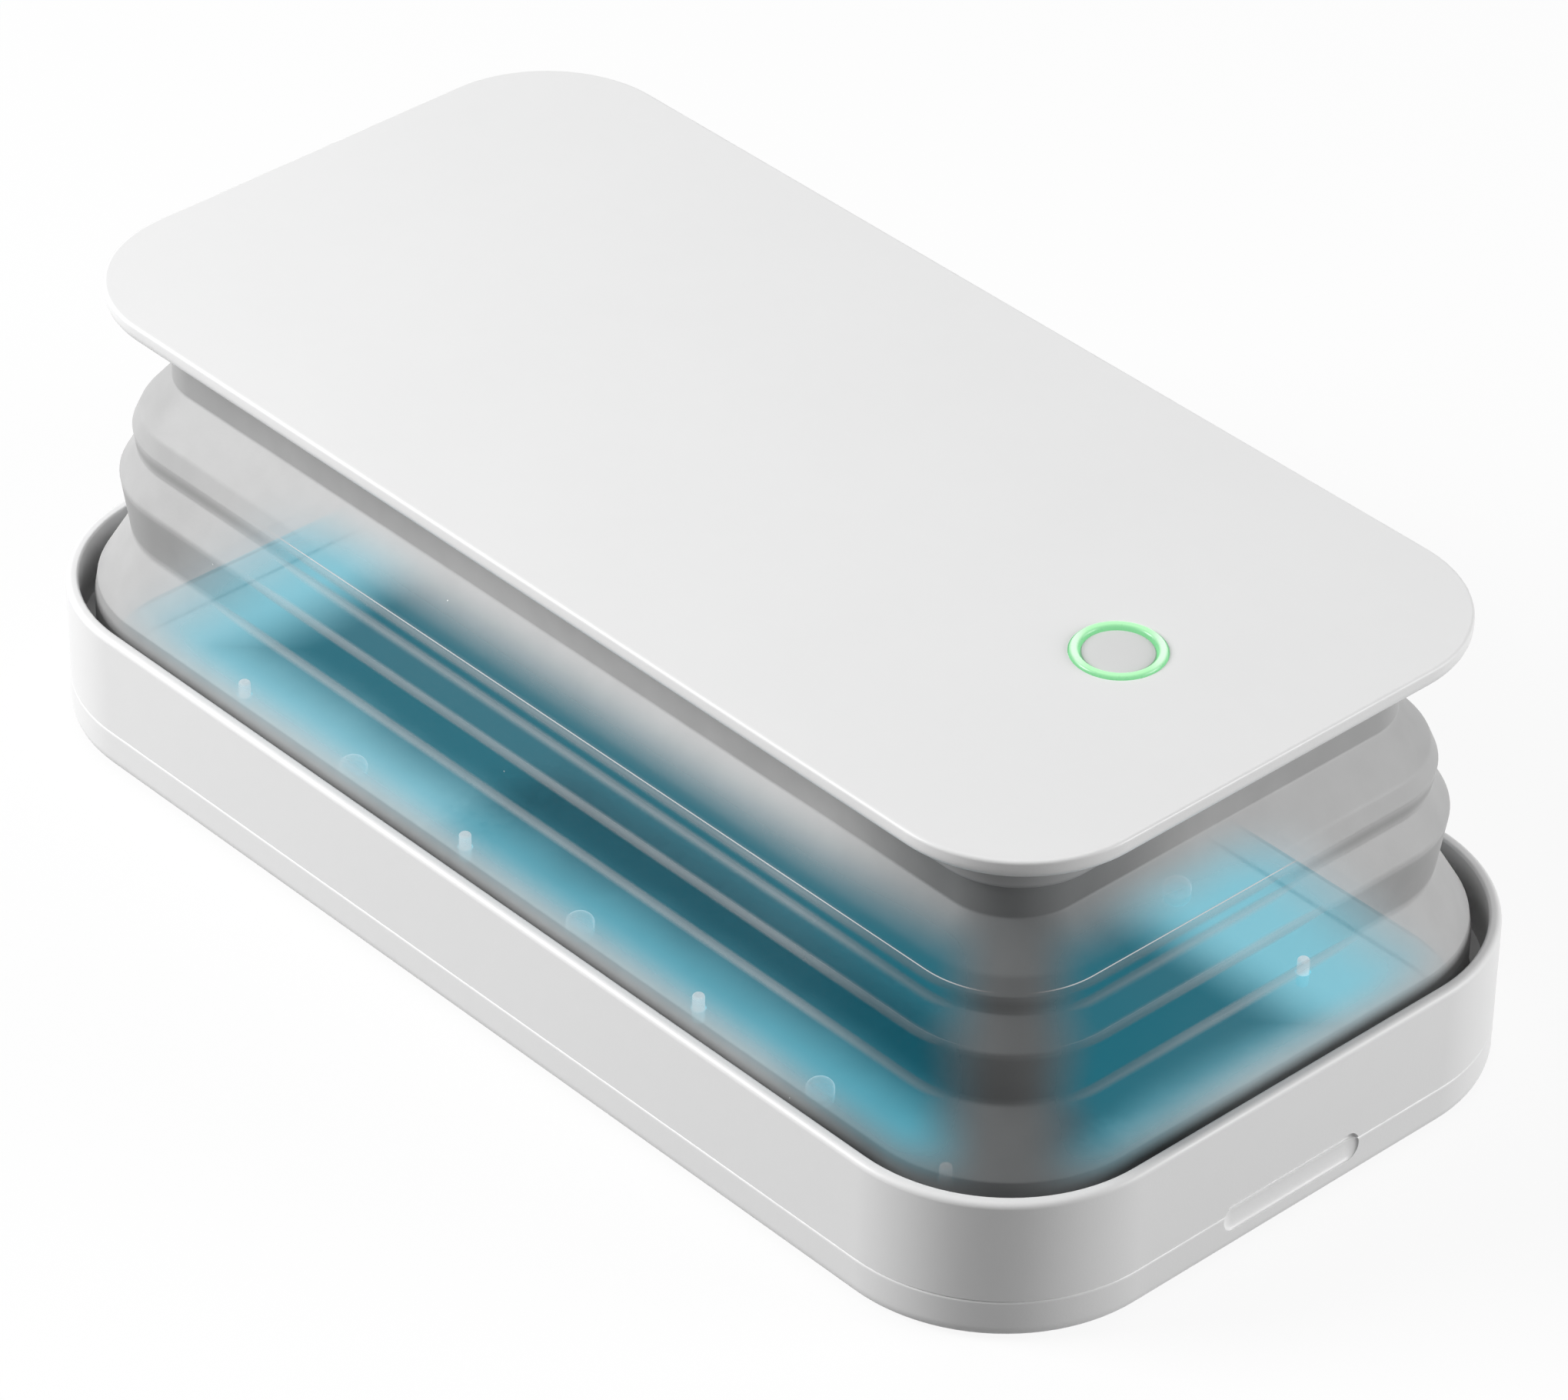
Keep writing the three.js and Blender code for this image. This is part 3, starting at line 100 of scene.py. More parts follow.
def amount(name, description, value):
    """A plain number that a user can change."""
    return FloatProperty(name=name, description=description, default=value, min=0)


def tint(name, description, colour):
    """A colour that a user can change."""
    return FloatVectorProperty(name=name, description=description, default=colour,
                               subtype="COLOR", size=3, min=0, max=1)


class CaseSizes(bpy.types.PropertyGroup):
    """Sizes of the tray and of the rim frame above it."""

    length: span("Length", "Length of the case", 187.6)
    width: span("Width", "Width of the case", 98.8)
    corner: span("Corner", "Corner radius of the case", 23.5)
    wall: span("Wall", "Thickness of the case wall", 1.6)
    floor: span("Floor", "Thickness of the tray floor", 1.6)
    bottom: level("Bottom", "Height of the tray underside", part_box("bottom_shell")[0].z)
    seam: span("Seam", "Height of the opening line", 6.0)
    rim: level("Rim", "Height of the rim top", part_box("rim_frame")[1].z)
    bottom_inset: span("Bottom inset", "How far the underside stands back", 0.9)
    bottom_round: span("Bottom round", "Height of the rounding at the underside", 1.6)
    rim_round: span("Rim round", "Rounding of the rim's outer edge", 0.8)
    rim_break: span("Rim break", "Rounding of the rim's inner edge", 0.4)
    seam_break: span("Seam break", "Rounding of the tray's edge at the seam", 0.4)
    mirror: span("Mirror", "Height of the mirror floor", 5.2)
    peg_pitch: span("Peg pitch", "Distance between support pegs", 44.0)
    peg_row: span("Peg row", "Distance of each row of pegs from the middle", 30.5)
    peg_radius: span("Peg radius", "Radius of a support peg", 0.8)
    peg_height: span("Peg height", "Height of a peg above the mirror", 2.1)
    notch_length: span("Notch length", "Length of the finger notch", 23.0)
    notch_radius: span("Notch radius", "Half height of the finger notch", 1.9)
    notch_depth: span("Notch depth", "Depth of the finger notch in the tray", 0.6)
    notch_step: span("Notch step", "How much deeper the notch is in the rim frame", 0.3)
    notch_drop: span("Notch drop", "How far the notch's middle lies below the seam", 0.85)


class BellowsSizes(bpy.types.PropertyGroup):
    """Sizes of the silicone bellows."""

    straight_length: span("Straight length", "Straight run between corner arcs, lengthwise", 140.2)
    straight_width: span("Straight width", "Straight run between corner arcs, crosswise", 51.0)
    wall: span("Wall", "Thickness of the silicone", 0.9)
    fold_round: span("Fold round", "Rounding of each fold", 0.9)
    foot_gap: span("Foot gap", "Gap between the foot and the rim's inner wall", 1.6)


class LidSizes(bpy.types.PropertyGroup):
    """Sizes of the lid, its pan and its button."""

    length: span("Length", "Length of the lid", 175.7)
    width: span("Width", "Width of the lid", 85.9)
    corner: span("Corner", "Corner radius of the lid", 17.95)
    thickness: span("Thickness", "Thickness of the lid's edge", 2.7)
    skin: span("Skin", "Thickness of the lid's top", 1.5)
    edge_round: span("Edge round", "Rounding of the top edge", 0.45)
    lower_round: span("Lower round", "Rounding of the lower edge", 1.55)
    top: level("Top", "Height of the lid's top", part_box("lid_plate")[1].z)
    pan_radius: span("Pan radius", "Corner radius of the pan below the lid", 11.45)
    pan_depth: span("Pan depth", "Depth of the pan below the lid", 6.3)
    button_x: span("Button place", "Distance of the button from the middle of the lid", 60.8)
    ring_outer: span("Ring outside", "Outer radius of the light ring", 5.85)
    ring_inner: span("Ring inside", "Inner radius of the light ring", 4.7)
    ring_proud: span("Ring height", "How far the ring stands above the lid", 0.45)
    lamp_pitch: span("Lamp pitch", "Distance between lamps", 30.0)
    lamp_count: IntProperty(name="Lamps", description="Number of UV lamps", default=4, min=1)


class FinishColours(bpy.types.PropertyGroup):
    """Colours of the finishes."""

    white: tint("White", "Moulded shells", (0.90, 0.90, 0.90))
    # Painted shade: the pan's grey darkens the pan where the lid shades it.
    pan_shade_grey: tint("Pan, shaded", "Pan and clamp frames", (0.34, 0.345, 0.35))
    cap_grey: tint("Cap", "Face of the push button", (0.76, 0.76, 0.76))
    # Painted light: the lit silicone colour lightens upward faces, the collar and the fold lines.
    silicone: tint("Silicone", "Body of the bellows", (0.36, 0.36, 0.36))
    silicone_lit: tint("Silicone, lit", "Upper faces of the bellows", (0.48, 0.48, 0.48))
    # Painted shade on two opposite corners of the bellows and the sides near them.
    corner_shade: tint("Corner shade", "How painted shade darkens two corners of the bellows", (0.35, 0.365, 0.37))
    # Painted shade darkens the mirror's reflection in its middle; the glows are painted light of the lamps
    # on the floor.
    mirror_edge: tint("Mirror, edge", "Metallised floor along its edge", (0.28, 0.34, 0.34))
    mirror_shaded_middle: tint("Mirror, shaded middle", "Metallised floor in its middle", (0.015, 0.12, 0.15))
    glow_edge: tint("Glow, edge", "UV glow along the floor's edge", (0.07, 0.35, 0.45))
    glow_middle: tint("Glow, middle", "UV glow in the middle of the floor", (0.002, 0.07, 0.10))
    lamp: tint("Lamp", "Light of the UV lamps", (0.55, 0.62, 1.0))
    # The ring's middle colour carries a painted highlight along its crown.
    ring_edge: tint("Ring, edge", "Light ring at its edges", (0.22, 0.63, 0.29))
    ring_middle: tint("Ring, middle", "Light ring at its crown", (0.46, 0.95, 0.50))
    rubber: tint("Rubber", "Feet", (0.30, 0.31, 0.32))
    steel: tint("Steel", "Screws, pin and socket", (0.58, 0.59, 0.60))
    board: tint("Board", "Circuit boards", (0.02, 0.14, 0.07))
    foil: tint("Foil", "Battery", (0.48, 0.49, 0.53))
    black: tint("Black", "Switch", (0.012, 0.012, 0.013))
    ceramic: tint("Ceramic", "Lamp bodies", (0.86, 0.85, 0.80))
    floor: tint("Floor", "Stage floor, as it lights the case", (0.25, 0.25, 0.25))


class StageSettings(bpy.types.PropertyGroup):
    """Camera and light."""

    azimuth: swing("Azimuth", "Direction of the camera", 46.818)
    elevation: swing("Elevation", "Height of the camera above the horizon", 35.542)
    roll: swing("Roll", "Turn of the camera about its own axis", -1.124)
    distance: span("Distance", "Distance of the camera from the case", 929.7)
    shift_right: FloatProperty(name="Shift right", description="Place of the case across the view",
                               unit="LENGTH", subtype="DISTANCE", default=-2.96 * MM)
    shift_down: FloatProperty(name="Shift down", description="Place of the case down the view",
                              unit="LENGTH", subtype="DISTANCE", default=20.16 * MM)
    lens: FloatProperty(name="Lens", description="Focal length on a 36 mm sensor, in millimetres",
                        default=167.92, min=1)
    ambient: amount("Ambient", "Strength of the even light", 0.12)
    left_lamp: amount("Left lamp", "Power on the long side, in watts", 10.0)
    right_lamp: amount("Right lamp", "Power on the notch end, in watts", 6.2)
    top_lamp: amount("Top lamp", "Power on the lid, in watts", 1.25)


# How finely the shapes are divided
CORNER_STEPS = 24
ROUND_STEPS = 6
DOME_STEPS = 12
RING_STEPS = 24
FOLD_STEPS = 6
BEVEL_STEPS = 3
RING_SIDES = 128
DISC_SIDES = 64
BOSS_SIDES = 32
SCREW_SIDES = 24
BELLOWS_RUNS = (48, 18)

# The bellows, from the foot up: name, step outwards from the stretch below, height, share of rounding
BELLOWS_TABLE = (
    ("foot", 0.0, 10.2, 0.0),
    ("skirt_foot", 0.0, 18.2, 1.0),
    ("skirt_edge", -0.4, 20.6, 1.0),
    ("lower_crease", -4.6, 28.4, 1.0),
    ("ridge", 1.2, 36.7, 1.0),
    ("upper_crease", -2.3, 40.8, 0.6),
    ("tier_edge", 0.4, 43.6, 0.6),
    ("shoulder", -1.0, 45.9, 2.6),
    ("collar", -4.3, 51.0, 0.7),
    ("collar_top", 0.0, 54.7, 0.0),
)
# The folds drawn as pale lines, a painted highlight.
PALE_FOLDS = ("lower_crease", "ridge", "upper_crease", "tier_edge")
BELLOWS_MASKS = ("clear", "crest", "corner_shade", "lit_faces")
BELLOWS_LIP = 1.1 * MM
BELLOWS_FOOT_Z = 9.1 * MM
BELLOWS_TOP_Z = 55.8 * MM
COLLAR_FLANGE = 3.7 * MM
CLEARANCE = 0.3 * MM
OVERRUN = 1.0 * MM


# Shapes

def core_of(length, width, corner):
    """The straight runs of a rounded rectangle."""
    return length - 2 * corner, width - 2 * corner


def arc(steps, start=0, end=1):
    """Cosine and sine at even steps through an arc given in quarter turns."""
    angles = [(start + (end - start) * step / steps) * math.pi / 2 for step in range(steps + 1)]
    return [(math.cos(angle), math.sin(angle)) for angle in angles]


def circle(radius, z, sides, x=0):
    """Points round an upright axis."""
    return [Vector((x + radius * cosine, radius * sine, z)) for cosine, sine in arc(sides, 0, 4)[:-1]]


def outline(core, radius, z, runs):
    """Points of a rounded rectangle, anticlockwise from above, its straight runs divided."""
    corners = [[Vector((x * core[0] / 2 + radius * cosine, y * core[1] / 2 + radius * sine, z))
                for cosine, sine in arc(CORNER_STEPS, quarter, quarter + 1)]
               for quarter, (x, y) in enumerate(CORNER_SIDES)]
    points = []
    for quarter, corner in enumerate(corners):
        start, end = corner[-1], corners[(quarter + 1) % 4][0]
        count = runs[quarter % 2]
        points += corner + [start.lerp(end, step / count) for step in range(1, count)]
    return points


def make_piece(name, points, faces):
    """A mesh object of points and faces."""
    mesh = bpy.data.meshes.new(name)
    mesh.from_pydata([tuple(point) for point in points], [], faces)
    mesh.validate()
    piece = bpy.data.objects.new(name, mesh)
    bpy.context.scene.collection.objects.link(piece)
    return piece


def skinned(name, rings, closed=False):
    """Joins rings of points. A closed row of rings gives a frame, an open one a capped solid."""
    points = [point for ring in rings for point in ring]
    count, faces = len(rings[0]), []
    for band in range(len(rings) if closed else len(rings) - 1):
        low, high = band * count, (band + 1) % len(rings) * count
        for i in range(count):
            j = (i + 1) % count
            faces.append((low + i, low + j, high + j, high + i))
    if not closed:
        faces.append(tuple(reversed(range(count))))
        faces.append(tuple(range(len(points) - count, len(points))))
    return make_piece(name, points, faces)


def loft(name, stations, closed=False, runs=(1, 1)):
    """Skins rounded rectangles, each given as its straight runs, corner radius and height."""
    return skinned(name, [outline(*station, runs) for station in stations], closed)


def quarter_round(core, start, end, starts_upright):
    """Stations of a quarter round between two (radius, height) pairs, bulging outwards."""
    stations = []
    for cosine, sine in arc(ROUND_STEPS):
        across, along = (1 - cosine, sine) if starts_upright else (sine, 1 - cosine)
        stations.append((core, start[0] + (end[0] - start[0]) * across,
                         start[1] + (end[1] - start[1]) * along))
    return stations


def turned(name, profile, sides=DISC_SIDES, place=(0, 0, 0), axis="Z"):
    """A round solid from (radius, height) pairs that start and end on its axis."""
    points = [Vector((0, 0, profile[0][1])), Vector((0, 0, profile[-1][1]))]
    for radius, z in profile[1:-1]:
        points += circle(radius, z, sides)
    last, faces = len(points) - sides, []
    for side in range(sides):
        after = (side + 1) % sides
        faces += [(0, 2 + after, 2 + side), (1, last + side, last + after)]
        for low in range(2, last, sides):
            high = low + sides
            faces.append((low + side, low + after, high + after, high + side))
    piece = make_piece(name, points, faces)
    turn = Matrix.Rotation(-math.pi / 2, 4, "X") if axis == "Y" else Matrix.Identity(4)
    piece.data.transform(Matrix.Translation(place) @ turn)
    return piece


def discs(radius, low, high, places, sides=BOSS_SIDES):
    """Upright round bars, one at each (x, y) place."""
    profile = [(0, low), (radius, low), (radius, high), (0, high)]
    return [turned("disc", profile, sides, (x, y, 0)) for x, y in places]


def bar(radius, length, y, edge=0.0):
    """A round bar along the hinge line, its edges broken if an edge is given."""
    case = bpy.context.scene.sanitizer_case
    half = length / 2
    profile = [(0, -half), (radius, -half), (radius, half), (0, half)]
    if edge:
        profile[1:3] = [(radius - edge, -half), (radius, edge - half),
                        (radius, half - edge), (radius - edge, half)]
    return turned("bar", profile, BOSS_SIDES, (-case.length / 2, y, case.seam), "Y")


def box(name, size, centre, edge=0.0):
    """A box, its edges rounded if an edge is given."""
    x, y, z = (value / 2 for value in size)
    piece = skinned(name, [[Vector((i * x, j * y, k * z)) + Vector(centre)
                            for i, j in ((-1, -1), (1, -1), (1, 1), (-1, 1))] for k in (-1, 1)])
    if edge:
        bevel = piece.modifiers.new("edge", "BEVEL")
        bevel.width, bevel.segments = edge, BEVEL_STEPS
        settle(piece)
    return piece


def prism(name, points, start, end, height):
    """A prism along X from an outline of (y, z) pairs, raised to a height."""
    return skinned(name, [[Vector((x, y, height + z)) for y, z in points] for x in (start, end)])


def settle(piece):
    """Applies the modifiers of a piece to its mesh."""
    graph = bpy.context.evaluated_depsgraph_get()
    mesh = bpy.data.meshes.new_from_object(piece.evaluated_get(graph))
    spent = piece.data
    piece.modifiers.clear()
    piece.data = mesh
    mesh.name = piece.name
    bpy.data.meshes.remove(spent)


def shape(piece, tools, operation):
    """Joins or cuts a piece with other solids, which are used up."""
    for tool in tools:
        change = piece.modifiers.new("shape", "BOOLEAN")
        change.operation, change.solver, change.object = operation, "MANIFOLD", tool
    settle(piece)
    for tool in tools:
        mesh = tool.data
        bpy.data.objects.remove(tool)
        bpy.data.meshes.remove(mesh)


def cut(piece, *tools):
    shape(piece, tools, "DIFFERENCE")


def join(piece, *tools):
    shape(piece, tools, "UNION")


def complete(piece, body, finish, replaced=(), sharp=32):
    """Moves a piece to the frame, smooths it, gives it its finish and its body, and hides the CAD parts
    that it replaces.
    """
    mesh = piece.data
    mesh.transform(Matrix.Translation((CENTRE_X, 0, 0)))
    mesh.shade_smooth()
    if sharp:
        mesh.set_sharp_from_angle(angle=math.radians(sharp))
        weighted = piece.modifiers.new("weighted", "WEIGHTED_NORMAL")
        weighted.keep_sharp = True
        settle(piece)
    piece.data.materials.clear()
    piece.data.materials.append(finish)
    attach(piece, body)
    if replaced:
        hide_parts(*replaced)
    return piece


# Finishes

class Graph:
    """Adds and joins the nodes of one tree."""

    def __init__(self, tree):
        self.tree = tree
        tree.nodes.clear()

    def add(self, kind, inputs=(), **settings):
        """A node. Each input is set to a value, or joined if the value is a socket."""
        node = self.tree.nodes.new(kind if kind.startswith("Node") else "ShaderNode" + kind)
        for key, value in settings.items():
            setattr(node, key, value)
        for key, value in dict(inputs).items():
            if isinstance(value, bpy.types.NodeSocket):
                self.tree.links.new(value, node.inputs[key])
            else:
                node.inputs[key].default_value = value
        return node

    def group(self, tree, **inputs):
        """The outputs of a shared effect."""
        return self.add("Group", inputs, node_tree=tree).outputs

    def math(self, operation, *values):
        """The output of one sum."""
        return self.add("Math", enumerate(values), operation=operation).outputs[0]

    def apart(self, first, second):
        """How far two values lie apart."""
        return self.math("ABSOLUTE", self.math("SUBTRACT", first, second))

    def hypotenuse(self, first, second):
        """The length of two values taken square to each other."""
        squares = self.math("MULTIPLY", first, first), self.math("MULTIPLY", second, second)
        return self.math("SQRT", self.math("ADD", *squares))

    def seen(self):
        """1 on rays that come from the camera, straight or through gloss or glass."""
        path = self.add("LightPath").outputs
        bent = self.math("MAXIMUM", path["Is Glossy Ray"], path["Is Transmission Ray"])
        return self.math("MAXIMUM", path["Is Camera Ray"], bent)

    def blend(self, share, first, second):
        """The output of a mix of two colours."""
        inputs = {0: share, 6: rgba(first), 7: rgba(second)}
        return self.add("Mix", inputs, data_type="RGBA").outputs[2]

    def ramp(self, value, low, high, start=0.0, end=1.0):
        """The output of a smooth step between two values."""
        inputs = {"Value": value, "From Min": low, "From Max": high, "To Min": start, "To Max": end}
        return self.add("MapRange", inputs, interpolation_type="SMOOTHSTEP").outputs["Result"]

    def noise(self, place, size, detail=2.0, stretch=(1, 1, 1)):
        """The output of a noise whose lumps are about size across."""
        if stretch != (1, 1, 1):
            place = self.add("VectorMath", {0: place, 1: stretch}, operation="MULTIPLY").outputs[0]
        inputs = {"Vector": place, "Scale": 1 / size, "Detail": detail}
        return self.add("TexNoise", inputs).outputs["Fac"]

    def place(self):
        """Object coordinates, in metres."""
        return self.add("TexCoord").outputs["Object"]

    def bump(self, height, distance, strength):
        """A normal from a height."""
        inputs = {"Height": height, "Distance": distance, "Strength": strength}
        return self.add("Bump", inputs).outputs["Normal"]


def rgba(colour):
    """A colour as a socket takes it."""
    if isinstance(colour, bpy.types.NodeSocket):
        return colour
    return (*colour[:3], 1.0)


def effect(name, inputs, outputs, fill):
    """A shader node group, built once. fill gives the sockets of its outputs by name."""
    tree = bpy.data.node_groups.get(name)
    if tree:
        return tree
    tree = bpy.data.node_groups.new(name, "ShaderNodeTree")
    for label, value in inputs.items():
        socket = tree.interface.new_socket(label, in_out="INPUT", socket_type="NodeSocketFloat")
        socket.default_value = value
    for label in outputs:
        tree.interface.new_socket(label, in_out="OUTPUT", socket_type="NodeSocketFloat")
    graph = Graph(tree)
    entry = graph.add("NodeGroupInput")
    graph.add("NodeGroupOutput", fill(graph, entry.outputs))
    return tree


def moulded_grain():
    """Spark-eroded grain with slow changes of tone: Height, Tone and Gloss."""
    def fill(graph, given):
        place = graph.place()
        scale = graph.math("DIVIDE", 1.0, given["Grain"])
        fine = graph.add("TexNoise", {"Vector": place, "Scale": scale, "Detail": 3.0}).outputs["Fac"]
        slow = graph.noise(place, 28 * MM, 3.0)
        patch = graph.noise(place, 3.5 * MM)
        tone = graph.math("MULTIPLY_ADD", patch, 0.25, graph.math("MULTIPLY", slow, 0.75))
        return {"Height": fine, "Tone": tone, "Gloss": graph.ramp(slow, 0.3, 0.7)}
    return effect("moulded_grain", {"Grain": 0.4 * MM}, ("Height", "Tone", "Gloss"), fill)


def edge_rub():
    """Where edges are rubbed smooth: Mask."""
    def fill(graph, given):
        soft = graph.add("Bevel", {"Radius": given["Radius"]}, samples=4).outputs["Normal"]
        plain = graph.add("NewGeometry").outputs["Normal"]
        near = graph.add("VectorMath", {0: soft, 1: plain}, operation="DOT_PRODUCT").outputs["Value"]
        mask = graph.ramp(near, 0.995, 0.93)
        spots = graph.ramp(graph.noise(graph.place(), 2.5 * MM, 3.0), 0.35, 0.6)
        return {"Mask": graph.math("MULTIPLY", mask, spots)}
    return effect("edge_rub", {"Radius": 0.4 * MM}, ("Mask",), fill)


def dust():
    """Small pale specks: Mask."""
    def fill(graph, given):
        inputs = {"Vector": graph.place(), "Scale": graph.math("DIVIDE", 1.0, given["Spacing"]),
                  "Randomness": 1.0}
        cells = graph.add("TexVoronoi", inputs, feature="F1")
        size = graph.add("SeparateColor", {0: cells.outputs["Color"]}).outputs[0]
        reach = graph.math("MULTIPLY", graph.ramp(size, 0.75, 1.0), given["Share"])
        return {"Mask": graph.math("LESS_THAN", cells.outputs["Distance"], reach)}
    return effect("dust", {"Spacing": 6 * MM, "Share": 0.04}, ("Mask",), fill)


def new_finish(name):
    """A material and its graph, or the material alone if it is there."""
    made = bpy.data.materials.get(name)
    if made:
        return made, None
    made = bpy.data.materials.new(name)
    made.use_nodes = True
    return made, Graph(made.node_tree)


def close_finish(graph, **inputs):
    """Ends a material in its Principled BSDF."""
    named = {key.replace("_", " ").title(): value for key, value in inputs.items()}
    shader = graph.add("BsdfPrincipled", named)
    graph.add("OutputMaterial", {"Surface": shader.outputs[0]})


GRAIN_DEPTH = 0.02 * MM
SILICONE_GRAIN = 0.5 * MM
RUB_RADIUS = 0.5 * MM


def plastic(name, colour, roughness, grain=0.35 * MM):
    """Moulded plastic with fine grain, slow changes of tone, and edges rubbed smoother."""
    made, graph = new_finish(name)
    if graph:
        skin = graph.group(moulded_grain(), Grain=grain)
        worn = graph.group(edge_rub(), Radius=RUB_RADIUS)["Mask"]
        tone = graph.blend(skin["Tone"], [0.965 * value for value in colour], colour)
        lighter = [min(1.0, 1.02 * value + 0.01) for value in colour]
        gloss = graph.ramp(skin["Gloss"], 0.0, 1.0, roughness - 0.04, roughness + 0.04)
        close_finish(graph, base_color=graph.blend(worn, tone, lighter),
                     roughness=graph.math("MULTIPLY_ADD", worn, -0.12, gloss),
                     normal=graph.bump(skin["Height"], GRAIN_DEPTH, 0.5))
    return made


def silicone():
    """Translucent silicone: clear along its sides, cloudy at its corners and collar, with painted light on
    its upper faces and fold lines and painted shade on two corners.
    """
    colours = bpy.context.scene.sanitizer_colours
    made, graph = new_finish("grey_silicone")
    if graph:
        skin = graph.group(moulded_grain(), Grain=SILICONE_GRAIN)
        specks = graph.group(dust(), Spacing=4 * MM, Share=0.028)["Mask"]
        clear, crest, corner_shade, lit_faces = (graph.add("Attribute", attribute_name=name).outputs["Fac"]
                                      for name in BELLOWS_MASKS)
        # Painted light: upward faces, the collar and the fold lines take the lighter, lit colour.
        lit_faces = graph.math("MAXIMUM", lit_faces, crest)
        body = graph.blend(lit_faces, colours.silicone, colours.silicone_lit)
        cloud = graph.ramp(skin["Tone"], 0.3, 0.7, 0.92, 1.06)
        body = graph.add("VectorMath", {0: body, "Scale": cloud}, operation="SCALE").outputs[0]
        # Painted shade: two opposite corners and the sides near them are darkened.
        dim = graph.blend(corner_shade, (1, 1, 1), colours.corner_shade)
        body = graph.add("VectorMath", {0: body, 1: dim}, operation="MULTIPLY").outputs[0]
        body = graph.blend(specks, body, (0.85, 0.85, 0.85))
        veil = graph.math("MULTIPLY_ADD", clear, -0.93, 1.0)
        veil = graph.math("MAXIMUM", veil, graph.math("MULTIPLY", crest, 0.42))
        close_finish(graph, base_color=body, alpha=graph.math("MAXIMUM", veil, specks),
                     roughness=graph.ramp(skin["Gloss"], 0.0, 1.0, 0.5, 0.6),
                     normal=graph.bump(skin["Height"], GRAIN_DEPTH, 0.5))
    return made


def silicone_lining():
    """Inner skin of the silicone, which shows from inside only, lit by a painted glow that stands in for
    light coming through the silicone.
    """
    colours = bpy.context.scene.sanitizer_colours
    made, graph = new_finish("silicone_lining")
    if graph:
        skin = graph.group(moulded_grain(), Grain=SILICONE_GRAIN)
        behind = graph.add("NewGeometry").outputs["Backfacing"]
        close_finish(graph, base_color=graph.blend(skin["Tone"], colours.silicone, colours.silicone_lit),
                     alpha=graph.math("SUBTRACT", 1.0, behind),
                     # Painted light: the emission stands in for light that comes through the silicone.
                     emission_color=graph.blend(skin["Tone"], (0.40, 0.41, 0.42), (0.44, 0.45, 0.46)),
                     emission_strength=1.0, roughness=graph.ramp(skin["Gloss"], 0.0, 1.0, 0.5, 0.6))
        made.use_backface_culling = True
    return made


def mirror():
    """Metallised floor with the painted glow of the lamps, brightest along its edge, and painted shade that
    darkens its reflection in the middle.
    """
    colours = bpy.context.scene.sanitizer_colours
    case = bpy.context.scene.sanitizer_case
    made, graph = new_finish("mirror_floor")
    if graph:
        place, core = graph.place(), case_core()
        axes = graph.add("SeparateXYZ", {0: place}).outputs
        past_x = graph.math("SUBTRACT", graph.apart(axes[0], CENTRE_X), core[0] / 2 + 6 * MM)
        past_y = graph.math("SUBTRACT", graph.apart(axes[1], 0.0), core[1] / 2)
        outside = graph.hypotenuse(graph.math("MAXIMUM", past_x, 0.0), graph.math("MAXIMUM", past_y, 0.0))
        inside = graph.math("MINIMUM", graph.math("MAXIMUM", past_x, past_y), 0.0)
        haze = graph.noise(place, 14 * MM, 3.0)
        reach = graph.math("MULTIPLY_ADD", haze, 3 * MM, graph.math("ADD", outside, inside))
        # Painted light and shade: bright glow and a lighter reflection along the edge, dark in the middle.
        edge = graph.ramp(reach, case.corner - 31 * MM, case.corner - 18 * MM)
        fine = graph.noise(place, 1.2 * MM)
        close_finish(graph, base_color=graph.blend(edge, colours.mirror_shaded_middle, colours.mirror_edge),
                     emission_color=graph.blend(edge, colours.glow_middle, colours.glow_edge),
                     emission_strength=1.0, metallic=1.0, roughness=graph.ramp(fine, 0.3, 0.7, 0.08, 0.14),
                     normal=graph.bump(haze, 0.05 * MM, 0.3))
    return made


def metal(name, colour, roughness, stretch=(1, 1, 12)):
    """Plated steel or foil with a fine drawn grain."""
    made, graph = new_finish(name)
    if graph:
        place = graph.place()
        lines = graph.noise(place, 0.3 * MM, stretch=stretch)
        slow = graph.noise(place, 4 * MM)
        close_finish(graph, base_color=graph.blend(slow, [0.85 * value for value in colour], colour),
                     roughness=graph.ramp(lines, 0.3, 0.7, roughness - 0.08, roughness + 0.08),
                     metallic=1.0, normal=graph.bump(lines, 0.01 * MM, 0.4))
    return made


def clear_plastic():
    """Clear bumper plastic with faint haze, paler towards its outline, and a painted glow of the lamps'
    light.
    """
    made, graph = new_finish("clear_bumper")
    if graph:
        haze = graph.noise(graph.place(), 1.0 * MM)
        side = graph.add("LayerWeight", {"Blend": 0.35}).outputs["Facing"]
        close_finish(graph, base_color=graph.blend(haze, (0.80, 0.88, 0.90), (0.9, 0.95, 0.96)),
                     alpha=graph.ramp(side, 0.25, 0.95, 0.12, 0.75),
                     # Painted light: a faint glow in place of the lamps' light in the tray.
                     emission_color=graph.blend(haze, (0.16, 0.26, 0.30), (0.20, 0.30, 0.34)),
                     emission_strength=1.0, roughness=graph.ramp(haze, 0.3, 0.7, 0.05, 0.14))
    return made


